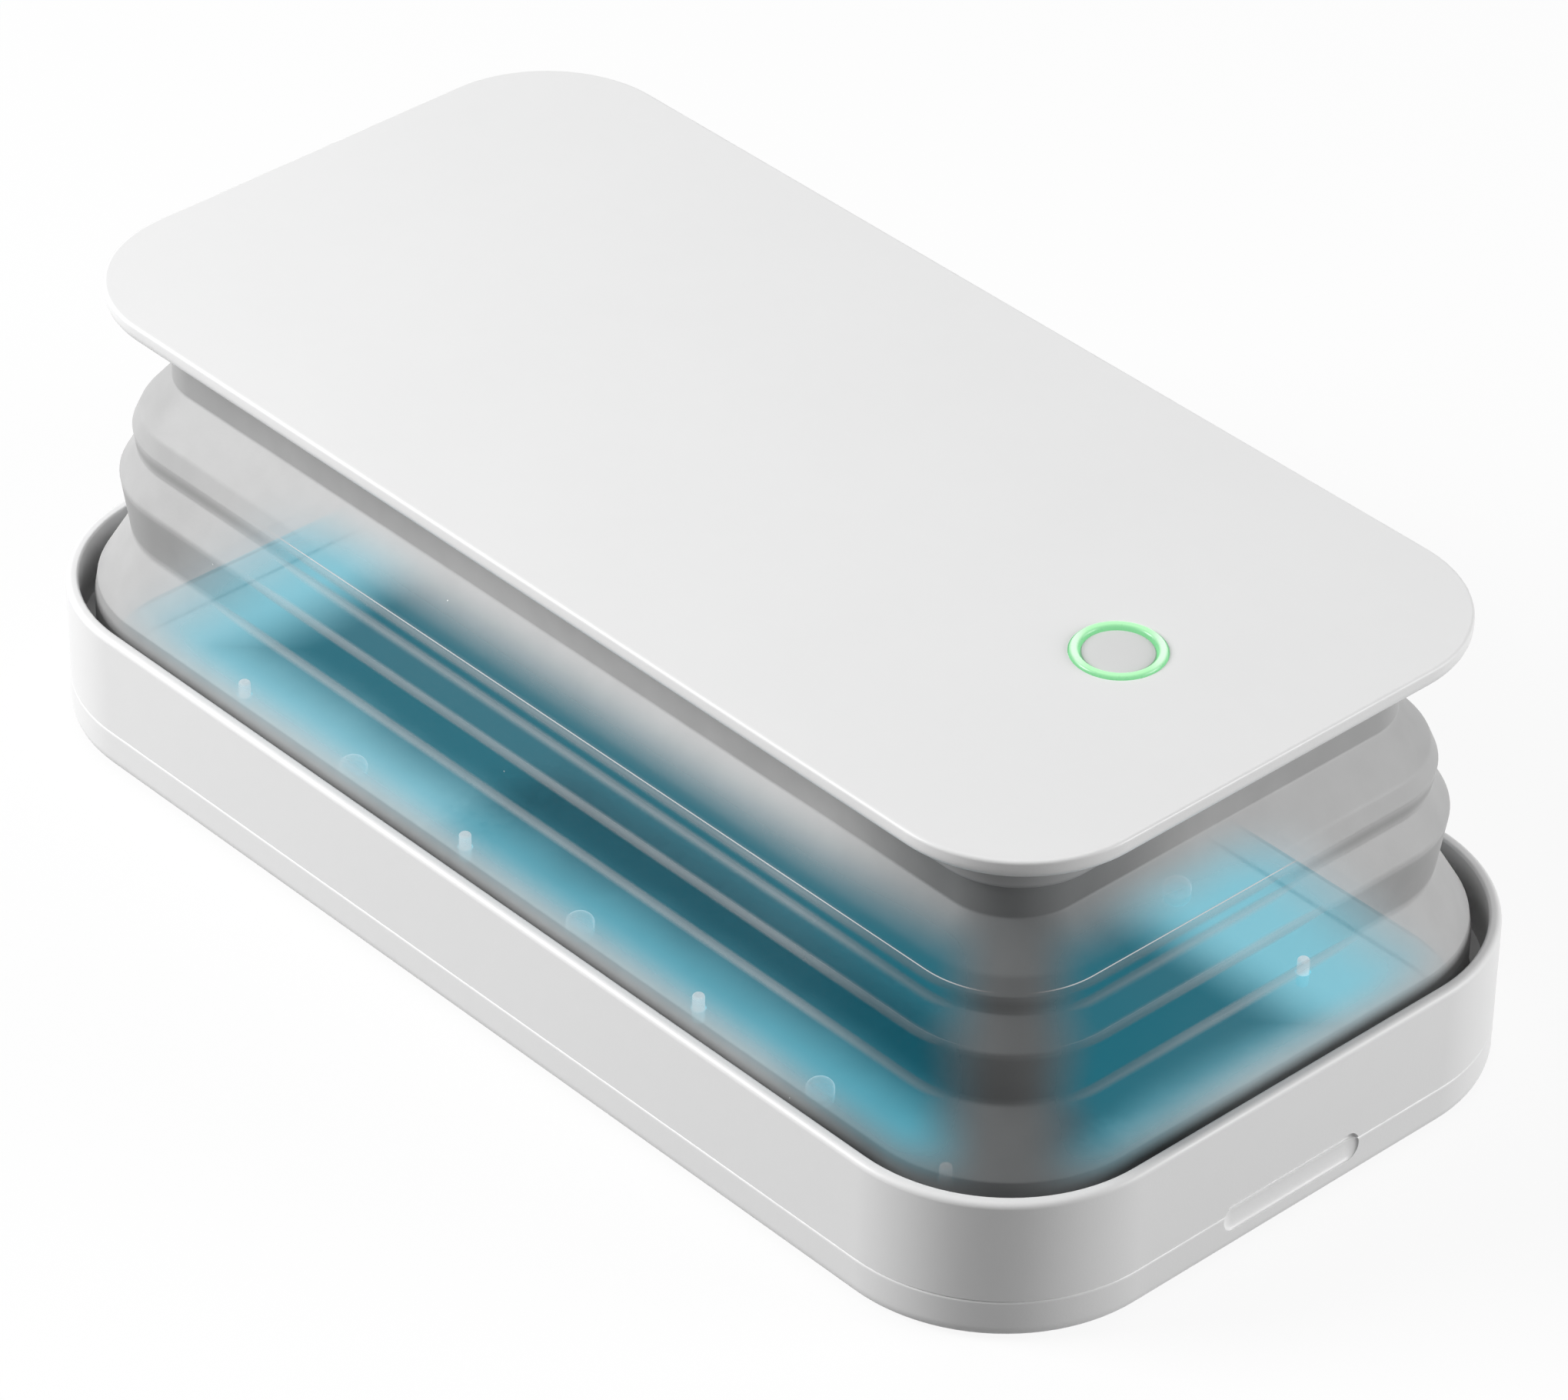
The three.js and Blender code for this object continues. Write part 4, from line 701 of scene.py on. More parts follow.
def ring_light():
    """Frosted light guide that glows green, with a painted highlight: pale along its crown and brighter
    towards two sides.
    """
    colours = bpy.context.scene.sanitizer_colours
    lid = bpy.context.scene.sanitizer_lid
    made, graph = new_finish("ring_light")
    if graph:
        middle = (lid.ring_outer + lid.ring_inner) / 2
        half = (lid.ring_outer - lid.ring_inner) / 2
        place = graph.place()
        axes = graph.add("SeparateXYZ", {0: place}).outputs
        x = graph.math("SUBTRACT", axes[0], CENTRE_X + lid.button_x)
        off = graph.math("DIVIDE", graph.apart(graph.hypotenuse(x, axes[1]), middle), half)
        # Painted highlight along the crown of the ring.
        crown = graph.ramp(off, 1.0, 0.3)
        diagonal = graph.math("ABSOLUTE", graph.math("ADD", x, axes[1]))
        # Painted highlights on the two sides that face the side lamps.
        bright = graph.ramp(graph.math("DIVIDE", diagonal, middle), 0.9, 1.42)
        glow = graph.blend(crown, colours.ring_edge, colours.ring_middle)
        glow = graph.blend(graph.math("MULTIPLY", bright, crown), glow, (0.74, 1.0, 0.78))
        mottle = graph.noise(place, 0.8 * MM)
        close_finish(graph, base_color=graph.blend(mottle, (0.02, 0.05, 0.03), (0.03, 0.07, 0.04)),
                     emission_color=glow, emission_strength=0.95,
                     roughness=graph.ramp(mottle, 0.3, 0.7, 0.25, 0.4))
    return made


def glowing(name, size, tones, glows, rough):
    """A surface that shines of itself, mottled between two tones and two glows: a lamp, or a part with
    painted light.
    """
    made, graph = new_finish(name)
    if graph:
        mottle = graph.noise(graph.place(), size)
        close_finish(graph, base_color=graph.blend(mottle, *tones),
                     emission_color=graph.blend(mottle, *glows), emission_strength=1.0,
                     roughness=graph.ramp(mottle, 0.3, 0.7, *rough))
    return made


def lamp_lens():
    """Quartz dome of a lit UV lamp."""
    lamp = bpy.context.scene.sanitizer_colours.lamp
    glows = [0.8 * value for value in lamp], lamp
    return glowing("lamp_lens", 0.6 * MM, ((0.7, 0.75, 0.9), (0.8, 0.85, 1.0)), glows, (0.08, 0.16))


def peg_white():
    """White plastic with the lamps' light painted on it as a glow."""
    tones = (0.82, 0.85, 0.86), (0.9, 0.9, 0.9)
    glows = (0.16, 0.24, 0.27), (0.2, 0.28, 0.31)
    return glowing("peg_white", 0.5 * MM, tones, glows, (0.35, 0.5))


def clamp_grey():
    """Grey plastic with the lamps' light painted on it as a glow."""
    tones = (0.33, 0.33, 0.34), (0.35, 0.35, 0.36)
    glows = (0.36, 0.39, 0.41), (0.4, 0.43, 0.45)
    return glowing("clamp_grey", 0.5 * MM, tones, glows, (0.35, 0.5))


def circuit_board():
    """Solder mask over copper tracks and pads."""
    colours = bpy.context.scene.sanitizer_colours
    made, graph = new_finish("circuit_board")
    if graph:
        place = graph.place()
        cells = graph.add("TexVoronoi", {"Vector": place, "Scale": 1 / (2.2 * MM), "Randomness": 0.6},
                          feature="F1", distance="CHEBYCHEV")
        tracks = graph.add("TexBrick", {"Vector": place, "Scale": 1 / (3 * MM), "Mortar Size": 0.06})
        lines = graph.math("SUBTRACT", 1.0, graph.math("GREATER_THAN", tracks.outputs["Fac"], 0.5))
        pads = graph.math("LESS_THAN", cells.outputs["Distance"], 0.16)
        mask = graph.blend(lines, [2.2 * value for value in colours.board], colours.board)
        tone = graph.blend(pads, mask, (0.62, 0.60, 0.52))
        close_finish(graph, base_color=tone, roughness=graph.math("MULTIPLY_ADD", pads, -0.2, 0.45),
                     normal=graph.bump(lines, 0.02 * MM, 0.4))
    return made


def rubber():
    """Matt rubber with fine dust."""
    colours = bpy.context.scene.sanitizer_colours
    made, graph = new_finish("foot_rubber")
    if graph:
        skin = graph.group(moulded_grain(), Grain=0.25 * MM)
        specks = graph.group(dust(), Spacing=1.5 * MM)["Mask"]
        tone = graph.blend(skin["Tone"], colours.rubber, [1.2 * value for value in colours.rubber])
        close_finish(graph, base_color=graph.blend(specks, tone, (0.6, 0.6, 0.6)),
                     roughness=graph.ramp(skin["Gloss"], 0.0, 1.0, 0.7, 0.85),
                     normal=graph.bump(skin["Height"], 0.04 * MM, 0.6))
    return made


def white():
    return plastic("satin_white", bpy.context.scene.sanitizer_colours.white, 0.42)


# Painted shade: the pan is darkened where the lid shades it.
def pan_shade_grey():
    return plastic("pan_shade_grey", bpy.context.scene.sanitizer_colours.pan_shade_grey, 0.5)


def steel():
    return metal("plated_steel", bpy.context.scene.sanitizer_colours.steel, 0.3)


# Pieces

def case_core():
    case = bpy.context.scene.sanitizer_case
    return core_of(case.length, case.width, case.corner)


def lid_core():
    lid = bpy.context.scene.sanitizer_lid
    return core_of(lid.length, lid.width, lid.corner)


def bellows_core():
    bellows = bpy.context.scene.sanitizer_bellows
    return bellows.straight_length, bellows.straight_width


def notch_tool(step=0.0):
    """A flattened capsule that presses the finger notch into the front end, deeper by a step."""
    case = bpy.context.scene.sanitizer_case
    radius, half = case.notch_radius, case.notch_length / 2 - case.notch_radius
    cap = [(radius * cosine, half + radius * sine) for cosine, sine in arc(DOME_STEPS)[:-1]]
    profile = [(0, -half - radius), *[(across, -along) for across, along in reversed(cap)], *cap,
               (0, half + radius)]
    tool = turned("notch", profile, axis="Y")
    flat = Matrix.Diagonal(((case.notch_depth + step) / radius, 1, (radius + step) / radius, 1))
    place = case.length / 2, 0, case.seam - case.notch_drop
    tool.data.transform(Matrix.Translation(place) @ flat)
    return tool


# The hinge, with barrels that reach as far back as the CAD's
HALF_LENGTH = 93.8 * MM
BARREL = CENTRE_X - HALF_LENGTH - CAD_BOX[0][0]
BARREL_EDGE = 0.3 * MM
BORE = 0.9 * MM
TRAY_KNUCKLE = 22.0 * MM
COVER_KNUCKLE = 12.0 * MM
COVER_KNUCKLE_Y = TRAY_KNUCKLE / 2 + CLEARANCE + COVER_KNUCKLE / 2
COVER_KNUCKLES = (-COVER_KNUCKLE_Y, COVER_KNUCKLE_Y)
PIN_SPAN = TRAY_KNUCKLE + 2 * CLEARANCE + 2 * COVER_KNUCKLE

# Places, those of pegs and bumpers in pitches along the case
FOOT_RADIUS = 6.0 * MM
FOOT_PLACES = [(x * 55 * MM, y * 31 * MM) for x, y in CORNER_SIDES]
PEG_PITCHES = (-1.5, -0.5, 0.5, 1.5)
BUMPER_PITCHES = (-1, 0, 1)
LID_SCREWS = [(x * MM, y * MM)
              for x, y in ((70, 24), (0, 28.3), (-70, 24), (-70, -24), (0, -28.3), (70, -24))]
CLAMP_SCREWS = [(x * side_x * MM, y * side_y * MM)
                for side_x, side_y in CORNER_SIDES for x, y in ((42, 32.1), (76.7, 18))]
LAMP_MIDDLE = -8.0 * MM

# Holes for the larger and the smaller screws, and the walls of lid and pan
SCREW_HOLE = 0.95 * MM
CLAMP_HOLE = 0.75 * MM
LID_WALL = 1.5 * MM
PAN_WALL = 1.5 * MM


def peg_places(pitches):
    """Places in the two rows along the long sides."""
    case = bpy.context.scene.sanitizer_case
    return [(pitch * case.peg_pitch, side * case.peg_row) for side in (-1, 1) for pitch in pitches]


class SANITIZER_OT_tray(bpy.types.Operator):
    """Makes the tray below the seam, with its pegs, hinge barrel and foot recesses"""

    bl_idname = "sanitizer.tray"
    bl_label = "Tray"

    def execute(self, context):
        case = context.scene.sanitizer_case
        core, corner, inner = case_core(), case.corner, case.corner - case.wall
        floor_z = case.bottom + case.floor
        stations = quarter_round(core, (corner - case.bottom_inset, case.bottom),
                                 (corner, case.bottom + case.bottom_round), False)
        stations += quarter_round(core, (corner, case.seam - case.seam_break),
                                  (corner - case.seam_break, case.seam), True)
        stations += [(core, inner, case.seam), (core, inner, floor_z)]
        tray = loft("tray_shell", stations)
        recess, seat = case.bottom + 0.8 * MM, case.bottom + 2.1 * MM
        boss, head = 3.2 * MM, 2.0 * MM
        join(tray, *discs(boss, floor_z - case.floor / 2, seat + OVERRUN, FOOT_PLACES))
        cut(tray, notch_tool(),
            *discs(FOOT_RADIUS + CLEARANCE, case.bottom - OVERRUN, recess, FOOT_PLACES, DISC_SIDES),
            *discs(head, case.bottom, seat, FOOT_PLACES),
            *discs(SCREW_HOLE, case.bottom, seat + 2 * OVERRUN, FOOT_PLACES),
            *[bar(BARREL + CLEARANCE, COVER_KNUCKLE + 2 * CLEARANCE, y) for y in COVER_KNUCKLES])
        join(tray, bar(BARREL, TRAY_KNUCKLE, 0, BARREL_EDGE))
        cut(tray, bar(BORE, PIN_SPAN + 2 * OVERRUN, 0))
        complete(tray, "tray", white(), ["bottom_shell"])

        radius = case.peg_radius
        column, tip = case.mirror - 0.8 * MM, case.mirror + case.peg_height
        profile = [(0, floor_z), (2 * radius, floor_z), (2 * radius, column), (radius, column)]
        profile += [(radius * (1 + cosine) / 2, tip - radius * (1 - sine) / 2)
                    for cosine, sine in arc(ROUND_STEPS)]
        profile.append((0, tip))
        for number, (x, y) in enumerate(peg_places(PEG_PITCHES), 1):
            peg = turned(f"support_peg_{number}", profile, SCREW_SIDES, (x, y, 0))
            complete(peg, "tray", peg_white(), ["bottom_shell"])
        return {"FINISHED"}


class SANITIZER_OT_mirror(bpy.types.Operator):
    """Makes the mirror floor and the clear bumpers on it"""

    bl_idname = "sanitizer.mirror"
    bl_label = "Mirror floor"

    def execute(self, context):
        case = context.scene.sanitizer_case
        core = case_core()
        gap, lip, lip_width, thickness = 0.9 * MM, 0.6 * MM, 0.8 * MM, 0.8 * MM
        outer = case.corner - case.wall - gap
        inner = outer - lip_width
        low, top = case.mirror - thickness, case.mirror + lip
        stations = [(core, outer, low)]
        stations += quarter_round(core, (outer, top - lip / 3), (outer - lip / 3, top), True)
        stations += [(core, inner, top), (core, inner - lip / 2, case.mirror + lip / 4),
                     (core, inner - lip, case.mirror)]
        floor = loft("mirror_floor", stations)
        cut(floor, *discs(case.peg_radius + 0.2 * MM, low - OVERRUN, top + OVERRUN,
                          peg_places(PEG_PITCHES), SCREW_SIDES))
        complete(floor, "tray", mirror(), ["mirror_tray"])

        radius, height = 1.8 * MM, 1.9 * MM
        profile = [(0, 0), (radius, 0)]
        profile += [(radius * cosine, height * (0.35 + 0.65 * sine))
                    for cosine, sine in arc(DOME_STEPS)[:-1]]
        profile.append((0, height))
        for number, (x, y) in enumerate(peg_places(BUMPER_PITCHES), 1):
            bumper = turned(f"clear_dome_{number}", profile, BOSS_SIDES, (x, y, case.mirror))
            complete(bumper, "tray", clear_plastic(), [f"clear_bumper_{number}"], 50)
        return {"FINISHED"}


class SANITIZER_OT_feet(bpy.types.Operator):
    """Makes the four rubber feet"""

    bl_idname = "sanitizer.feet"
    bl_label = "Feet"

    def execute(self, context):
        edge, thickness, ring = 0.4 * MM, 1.4 * MM, 0.12 * MM
        profile = [(0, ring), (FOOT_RADIUS - 5 * edge, ring), (FOOT_RADIUS - 4 * edge, 0)]
        profile += [(FOOT_RADIUS - edge * (1 - sine), edge * (1 - cosine))
                    for cosine, sine in arc(ROUND_STEPS)]
        profile += [(FOOT_RADIUS, thickness), (0, thickness)]
        for number, (x, y) in enumerate(FOOT_PLACES, 1):
            foot = turned(f"foot_pad_{number}", profile, DISC_SIDES, (x, y, 0))
            complete(foot, "tray", rubber(), [f"rubber_foot_{number}"])
        return {"FINISHED"}


class SANITIZER_OT_rim(bpy.types.Operator):
    """Makes the rim frame above the seam and the clamp frame inside it"""

    bl_idname = "sanitizer.rim"
    bl_label = "Rim frame"

    def execute(self, context):
        case = context.scene.sanitizer_case
        bellows = context.scene.sanitizer_bellows
        core, corner, inner = case_core(), case.corner, case.corner - case.wall
        ledge_z, ledge_top = case.seam + 4.5 * MM, case.seam + 6.0 * MM
        ledge = inner - bellows.foot_gap + CLEARANCE
        seam_break = case.seam_break / 4
        stations = quarter_round(core, (corner - seam_break, case.seam),
                                 (corner, case.seam + seam_break), False)
        stations += quarter_round(core, (corner, case.rim - case.rim_round),
                                  (corner - case.rim_round, case.rim), True)
        stations += quarter_round(core, (inner + case.rim_break, case.rim),
                                  (inner, case.rim - case.rim_break), False)
        stations += [(core, inner, ledge_top), (bellows_core(), ledge, ledge_top),
                     (bellows_core(), ledge, ledge_z), (core, inner, ledge_z), (core, inner, case.seam)]
        rim = loft("rim_shell", stations, True)
        cut(rim, notch_tool(case.notch_step), bar(BARREL + CLEARANCE, TRAY_KNUCKLE + 2 * CLEARANCE, 0))
        join(rim, *[bar(BARREL, COVER_KNUCKLE, y, BARREL_EDGE) for y in COVER_KNUCKLES])
        cut(rim, bar(BORE, PIN_SPAN + 2 * OVERRUN, 0))
        complete(rim, "cover", white(), ["rim_frame"])

        outer, width = inner - CLEARANCE, 2.2 * MM
        low, high = case.seam + CLEARANCE, BELLOWS_FOOT_Z - CLEARANCE
        clamp = loft("foot_clamp", [(core, outer, low), (core, outer, high), (core, outer - width, high),
                                    (core, outer - width, low)], True)
        magnet = Vector((2.0, 10.0, 1.5)) * MM
        magnet_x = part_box("cover_magnet_left")[0].x + magnet.x / 2 - CENTRE_X
        magnet_y, wall, gap = 20 * MM, 0.8 * MM, 0.15 * MM
        pads = [box("pad", (magnet.x + 2 * (wall + gap), magnet.y + 2 * (wall + gap), high - low),
                    (magnet_x, side * magnet_y, (low + high) / 2)) for side in (-1, 1)]
        join(clamp, *pads)
        pockets = [box("pocket", (magnet.x + 2 * gap, magnet.y + 2 * gap, 2 * (magnet.z + 0.2 * MM)),
                       (magnet_x, side * magnet_y, low)) for side in (-1, 1)]
        cut(clamp, bar(BARREL + CLEARANCE, PIN_SPAN + 2 * CLEARANCE, 0), *pockets)
        complete(clamp, "cover", clamp_grey(), ["lower_clamp_frame"])
        return {"FINISHED"}


def rounded_path(path):
    """Rounds the corners of a path of (radius, height, rounding) points."""
    points = []
    for index, (radius, z, rounding) in enumerate(path):
        here = Vector((radius, z))
        if not rounding:
            points.append(here)
            continue
        back = Vector(path[index - 1][:2]) - here
        ahead = Vector(path[index + 1][:2]) - here
        half = back.angle(ahead) / 2
        reach = min(rounding / math.tan(half), 0.45 * min(back.length, ahead.length))
        start, end = here + back.normalized() * reach, here + ahead.normalized() * reach
        for step in range(FOLD_STEPS + 1):
            share = step / FOLD_STEPS
            points.append(start.lerp(here, share).lerp(here.lerp(end, share), share))
    return points


def shifted(points, distance):
    """Moves a path square to itself, to its left as it runs."""
    moved = []
    for index, point in enumerate(points):
        first = point - points[max(index - 1, 0)]
        second = points[min(index + 1, len(points) - 1)] - point
        along = (first.normalized() + second.normalized()).normalized()
        moved.append(Vector((point.x - along.y * distance, point.y + along.x * distance)))
    return moved


def smooth_step(value, low, high):
    share = min(max((value - low) / (high - low), 0.0), 1.0)
    return share * share * (3 - 2 * share)


def filled(points):
    """Adds points along the straight stretches of a path, the first and last close to their ends."""
    dense = [points[0]]
    for start, end in zip(points, points[1:]):
        length = (end - start).length
        if length > 0.8 * MM:
            hold = 0.2 * MM / length
            count = max(1, round(length / (0.6 * MM)))
            dense += [start.lerp(end, hold + (1 - 2 * hold) * step / count) for step in range(count + 1)]
        dense.append(end)
    return dense


class SANITIZER_OT_bellows(bpy.types.Operator):
    """Makes the folding silicone wall between the rim and the lid"""

    bl_idname = "sanitizer.bellows"
    bl_label = "Bellows"

    def execute(self, context):
        case = context.scene.sanitizer_case
        sizes = context.scene.sanitizer_bellows
        core = bellows_core()
        radius = foot_radius = case.corner - case.wall - sizes.foot_gap
        path = []
        for _, outwards, z, share in BELLOWS_TABLE:
            radius += outwards * MM
            path.append((radius, z * MM, share * sizes.fold_round))
        outer = filled(rounded_path(path))
        inner = shifted(outer, sizes.wall)
        # Marks along the pale folds: a painted highlight, and more opacity.
        folds = [Vector(fold[:2]) for row, fold in zip(BELLOWS_TABLE, path) if row[0] in PALE_FOLDS]
        marks = [1 - smooth_step(min((point - fold).length for fold in folds), 0.4 * MM, 1.2 * MM)
                 for point in outer]
        clamp = case.corner - case.wall - CLEARANCE
        flange = radius - COLLAR_FLANGE
        rings = [(core, foot_radius - sizes.wall, BELLOWS_FOOT_Z), (case_core(), clamp, BELLOWS_FOOT_Z),
                 (case_core(), clamp, BELLOWS_FOOT_Z + BELLOWS_LIP)]
        rings += [(core, point.x, point.y) for point in outer]
        rings += [(core, radius, BELLOWS_TOP_Z), (core, flange, BELLOWS_TOP_Z),
                  (core, flange, BELLOWS_TOP_Z - BELLOWS_LIP)]
        inner_start = len(rings)
        rings += [(core, point.x, point.y) for point in reversed(inner)]
        piece = loft("silicone_bellows", rings, True, BELLOWS_RUNS)
        mesh = piece.data
        count = len(mesh.vertices) // len(rings)
        for name in BELLOWS_MASKS:
            mesh.attributes.new(name, "FLOAT", "POINT")
        masks = [mesh.attributes[name].data for name in BELLOWS_MASKS]
        for vertex in mesh.vertices:
            ring = vertex.index // count - 3
            # around gives how clear each point is and its painted shade.
            clear, corner_shade = around(vertex.co, core)
            clear *= (smooth_step(vertex.co.z, 18.5 * MM, 24.5 * MM)
                      * (1 - smooth_step(vertex.co.z, 44.5 * MM, 51.5 * MM)))
            crest = marks[ring] if 0 <= ring < len(marks) else 0.0
            # Painted light: upward faces, and the collar a little, are lighter as light falls on them.
            lit_faces = max(smooth_step(vertex.normal.z, -0.1, 0.45),
                        0.4 * smooth_step(vertex.co.z, 50 * MM, 51.5 * MM))
            for mask, value in zip(masks, (clear, crest, corner_shade, lit_faces)):
                mask[vertex.index].value = value
        complete(piece, "cover", silicone(), ["bellows"], 0)
        mesh.materials.append(silicone_lining())
        for face in mesh.polygons:
            if face.index // count >= inner_start:
                face.material_index = 1
        mesh.set_sharp_from_angle(angle=math.radians(70))
        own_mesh(piece)
        return {"FINISHED"}


def around(place, core):
    """How clear the silicone is at a point, and how much painted shade darkens it, by its place round the
    outline.

    Two opposite corners carry painted shade, with clear sides right up to them. The clear stretches end
    short of the other two corners, sooner the higher they are.
    """
    past_x, past_y = abs(place.x) - core[0] / 2, abs(place.y) - core[1] / 2
    if place.x * place.y < 0:
        if past_x > 0 and past_y > 0:
            turn = math.degrees(math.atan2(past_x, past_y))
            return max(1 - smooth_step(turn, 4, 42), smooth_step(turn, 52, 88)), 1.0
        near = past_x if past_x <= 0 else past_y
        return 1.0, smooth_step(near, -24 * MM, 0)
    lean = place.z - 24.5 * MM
    along_side = 1 - smooth_step(past_x + 0.9 * lean, -17 * MM, 5 * MM)
    along_end = 1 - smooth_step(past_y + 0.8 * lean, -12 * MM, 6 * MM)
    if past_x > 0 and past_y > 0:
        turn = math.atan2(past_x, past_y) / (math.pi / 2)
        return along_side * (1 - turn) + along_end * turn, 0.0
    return (along_side if past_x <= 0 else along_end), 0.0


class SANITIZER_OT_lid(bpy.types.Operator):
    """Makes the flat lid"""

    bl_idname = "sanitizer.lid"
    bl_label = "Lid"

    def execute(self, context):
        lid = context.scene.sanitizer_lid
        core, edge, low = lid_core(), lid.corner, lid.top - lid.thickness
        skirt = edge - LID_WALL
        stations = [(core, skirt, low)]
        stations += quarter_round(core, (edge - 0.85 * lid.lower_round, low),
                                  (edge, low + lid.lower_round), False)
        stations += quarter_round(core, (edge, lid.top - lid.edge_round),
                                  (edge - lid.edge_round, lid.top), True)
        plate = loft("lid_cover", stations)
        cut(plate, loft("hollow", [(core, skirt, low - OVERRUN), (core, skirt, lid.top - lid.skin)]))
        boss, pan_floor = 2.4 * MM, low - lid.pan_depth + PAN_WALL
        join(plate, *discs(boss, pan_floor + 0.2 * MM, lid.top - lid.skin / 2, LID_SCREWS))
        hole, place = lid.ring_outer + 0.15 * MM, (lid.button_x, 0)
        cut(plate, *discs(hole, low, lid.top + OVERRUN, [place], DISC_SIDES),
            *discs(SCREW_HOLE, pan_floor - OVERRUN, low, LID_SCREWS))
        complete(plate, "lid", white(), ["lid_plate"])
        return {"FINISHED"}


def lamp_places():
    """Middles of the lamps along the lid."""
    lid = bpy.context.scene.sanitizer_lid
    half = (lid.lamp_count - 1) / 2
    return [LAMP_MIDDLE + (number - half) * lid.lamp_pitch for number in range(lid.lamp_count)]


def oval(width, height):
    """Outline of a flat oval, as (y, z) pairs."""
    run, radius = (width - height) / 2, height / 2
    return [(side * (run + radius * cosine), side * radius * sine)
            for side in (1, -1) for cosine, sine in arc(DOME_STEPS, -1, 1)]


def cross_screw(name, place, head, height, radius, bite):
    """A screw that points up, with a domed head and a cross recess."""
    dome = height * 0.45
    profile = [(0, -height)]
    profile += [(head * sine, -height + dome * (1 - cosine)) for cosine, sine in arc(ROUND_STEPS)[1:]]
    profile += [(head, 0), (radius, 0), (radius, bite - radius / 2), (radius / 2, bite), (0, bite)]
    screw = turned(name, profile, SCREW_SIDES, place)
    long, slot, depth = 1.25 * head, head * 0.24, height * 0.9
    centre = place[0], place[1], place[2] - height
    cut(screw, box("slot", (long, slot, depth), centre), box("slot", (slot, long, depth), centre))
    return screw


class SANITIZER_OT_pan(bpy.types.Operator):
    """Makes the pan under the lid, the clamp frame on the collar, and the screws"""

    bl_idname = "sanitizer.pan"
    bl_label = "Lamp pan"

    def execute(self, context):
        lid = context.scene.sanitizer_lid
        core, wall = lid_core(), lid.pan_radius
        low = lid.top - lid.thickness
        bottom = low - lid.pan_depth
        floor_z, brim_top = bottom + PAN_WALL, low + 1.1 * MM
        brim = lid.corner - LID_WALL - CLEARANCE
        stations = quarter_round(core, (wall - MM, bottom), (wall, bottom + MM), False)
        stations += [(core, wall, low), (core, brim, low), (core, brim, brim_top),
                     (core, wall - PAN_WALL, brim_top), (core, wall - PAN_WALL, floor_z)]
        pan = loft("lamp_pan", stations)
        clamp_top = bottom + 2.3 * MM
        boss, head = 1.8 * MM, 1.85 * MM
        join(pan, *discs(boss, floor_z - PAN_WALL / 2, clamp_top + PAN_WALL, CLAMP_SCREWS))
        socket_low, socket_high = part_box("usb_socket")
        gap = 0.2 * MM
        slot = oval(socket_high.y - socket_low.y + 2 * gap, socket_high.z - socket_low.z + 2 * gap)
        x, z = socket_low.x - CENTRE_X, (socket_low.z + socket_high.z) / 2
        under, over = bottom - gap, floor_z + gap
        window = [(0, under), (5.0 * MM, under), (3.2 * MM, over), (0, over)]
        cut(pan, *discs(CLAMP_HOLE, bottom - OVERRUN, clamp_top + 0.15 * MM, CLAMP_SCREWS, SCREW_SIDES),
            *discs(head, bottom - OVERRUN, bottom + MM, LID_SCREWS),
            *discs(SCREW_HOLE, bottom, floor_z + OVERRUN, LID_SCREWS),
            *[turned("window", window, place=(middle, 0, 0)) for middle in lamp_places()],
            prism("slot", slot, x - 3 * MM, x + 9 * MM, z))
        complete(pan, "lid", pan_shade_grey(), ["lid_carrier"])

        core = bellows_core()
        collar_low, collar_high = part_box("upper_clamp_frame")
        outer = collar_high.x - CENTRE_X - core[0] / 2
        inner, edge = outer - 2.5 * MM, 0.2 * MM
        stations = [(core, inner + edge, collar_low.z), (core, outer - edge, collar_low.z),
                    (core, outer, collar_low.z + edge), (core, outer, collar_high.z),
                    (core, inner, collar_high.z), (core, inner, collar_low.z + edge)]
        clamp = loft("collar_clamp", stations, True)
        cut(clamp, *discs(CLAMP_HOLE, collar_low.z - OVERRUN, collar_high.z + OVERRUN, CLAMP_SCREWS,
                          SCREW_SIDES))
        complete(clamp, "lid", pan_shade_grey(), ["upper_clamp_frame"])

        kinds = (("collar", "clamp", CLAMP_SCREWS, collar_low.z, (1.15 * MM, 0.8 * MM, 0.6 * MM, 5.3 * MM)),
                 ("pan", "lid", LID_SCREWS, bottom + MM, (1.7 * MM, MM, 0.8 * MM, low - bottom - MM)))
        for name, replaced, places, height, sizes in kinds:
            for number, (x, y) in enumerate(places, 1):
                screw = cross_screw(f"{name}_screw_{number}", (x, y, height), *sizes)
                complete(screw, "lid", steel(), [f"{replaced}_screw_{number}"])
        return {"FINISHED"}


class SANITIZER_OT_lamps(bpy.types.Operator):
    """Makes the UV lamps, each a ceramic body with a quartz dome"""

    bl_idname = "sanitizer.lamps"
    bl_label = "Lamps"

    def execute(self, context):
        base_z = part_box("uv_led_board")[0].z
        size, height, radius = 3.5 * MM, 1.2 * MM, 1.4 * MM
        profile = [(0, -radius)]
        profile += [(radius * sine, -radius * cosine) for cosine, sine in arc(DOME_STEPS)[1:]]
        profile.append((0, 0))
        ceramic = plastic("lamp_ceramic", context.scene.sanitizer_colours.ceramic, 0.35, 0.2 * MM)
        for number, x in enumerate(lamp_places(), 1):
            body = box(f"lamp_body_{number}", (size, size, height), (x, 0, base_z - height / 2), 0.12 * MM)
            complete(body, "lid", ceramic, [f"uv_led_{number}"])
            dome = turned(f"lamp_dome_{number}", profile, BOSS_SIDES, (x, 0, base_z - height))
            complete(dome, "lid", lamp_lens(), (), 60)
        return {"FINISHED"}


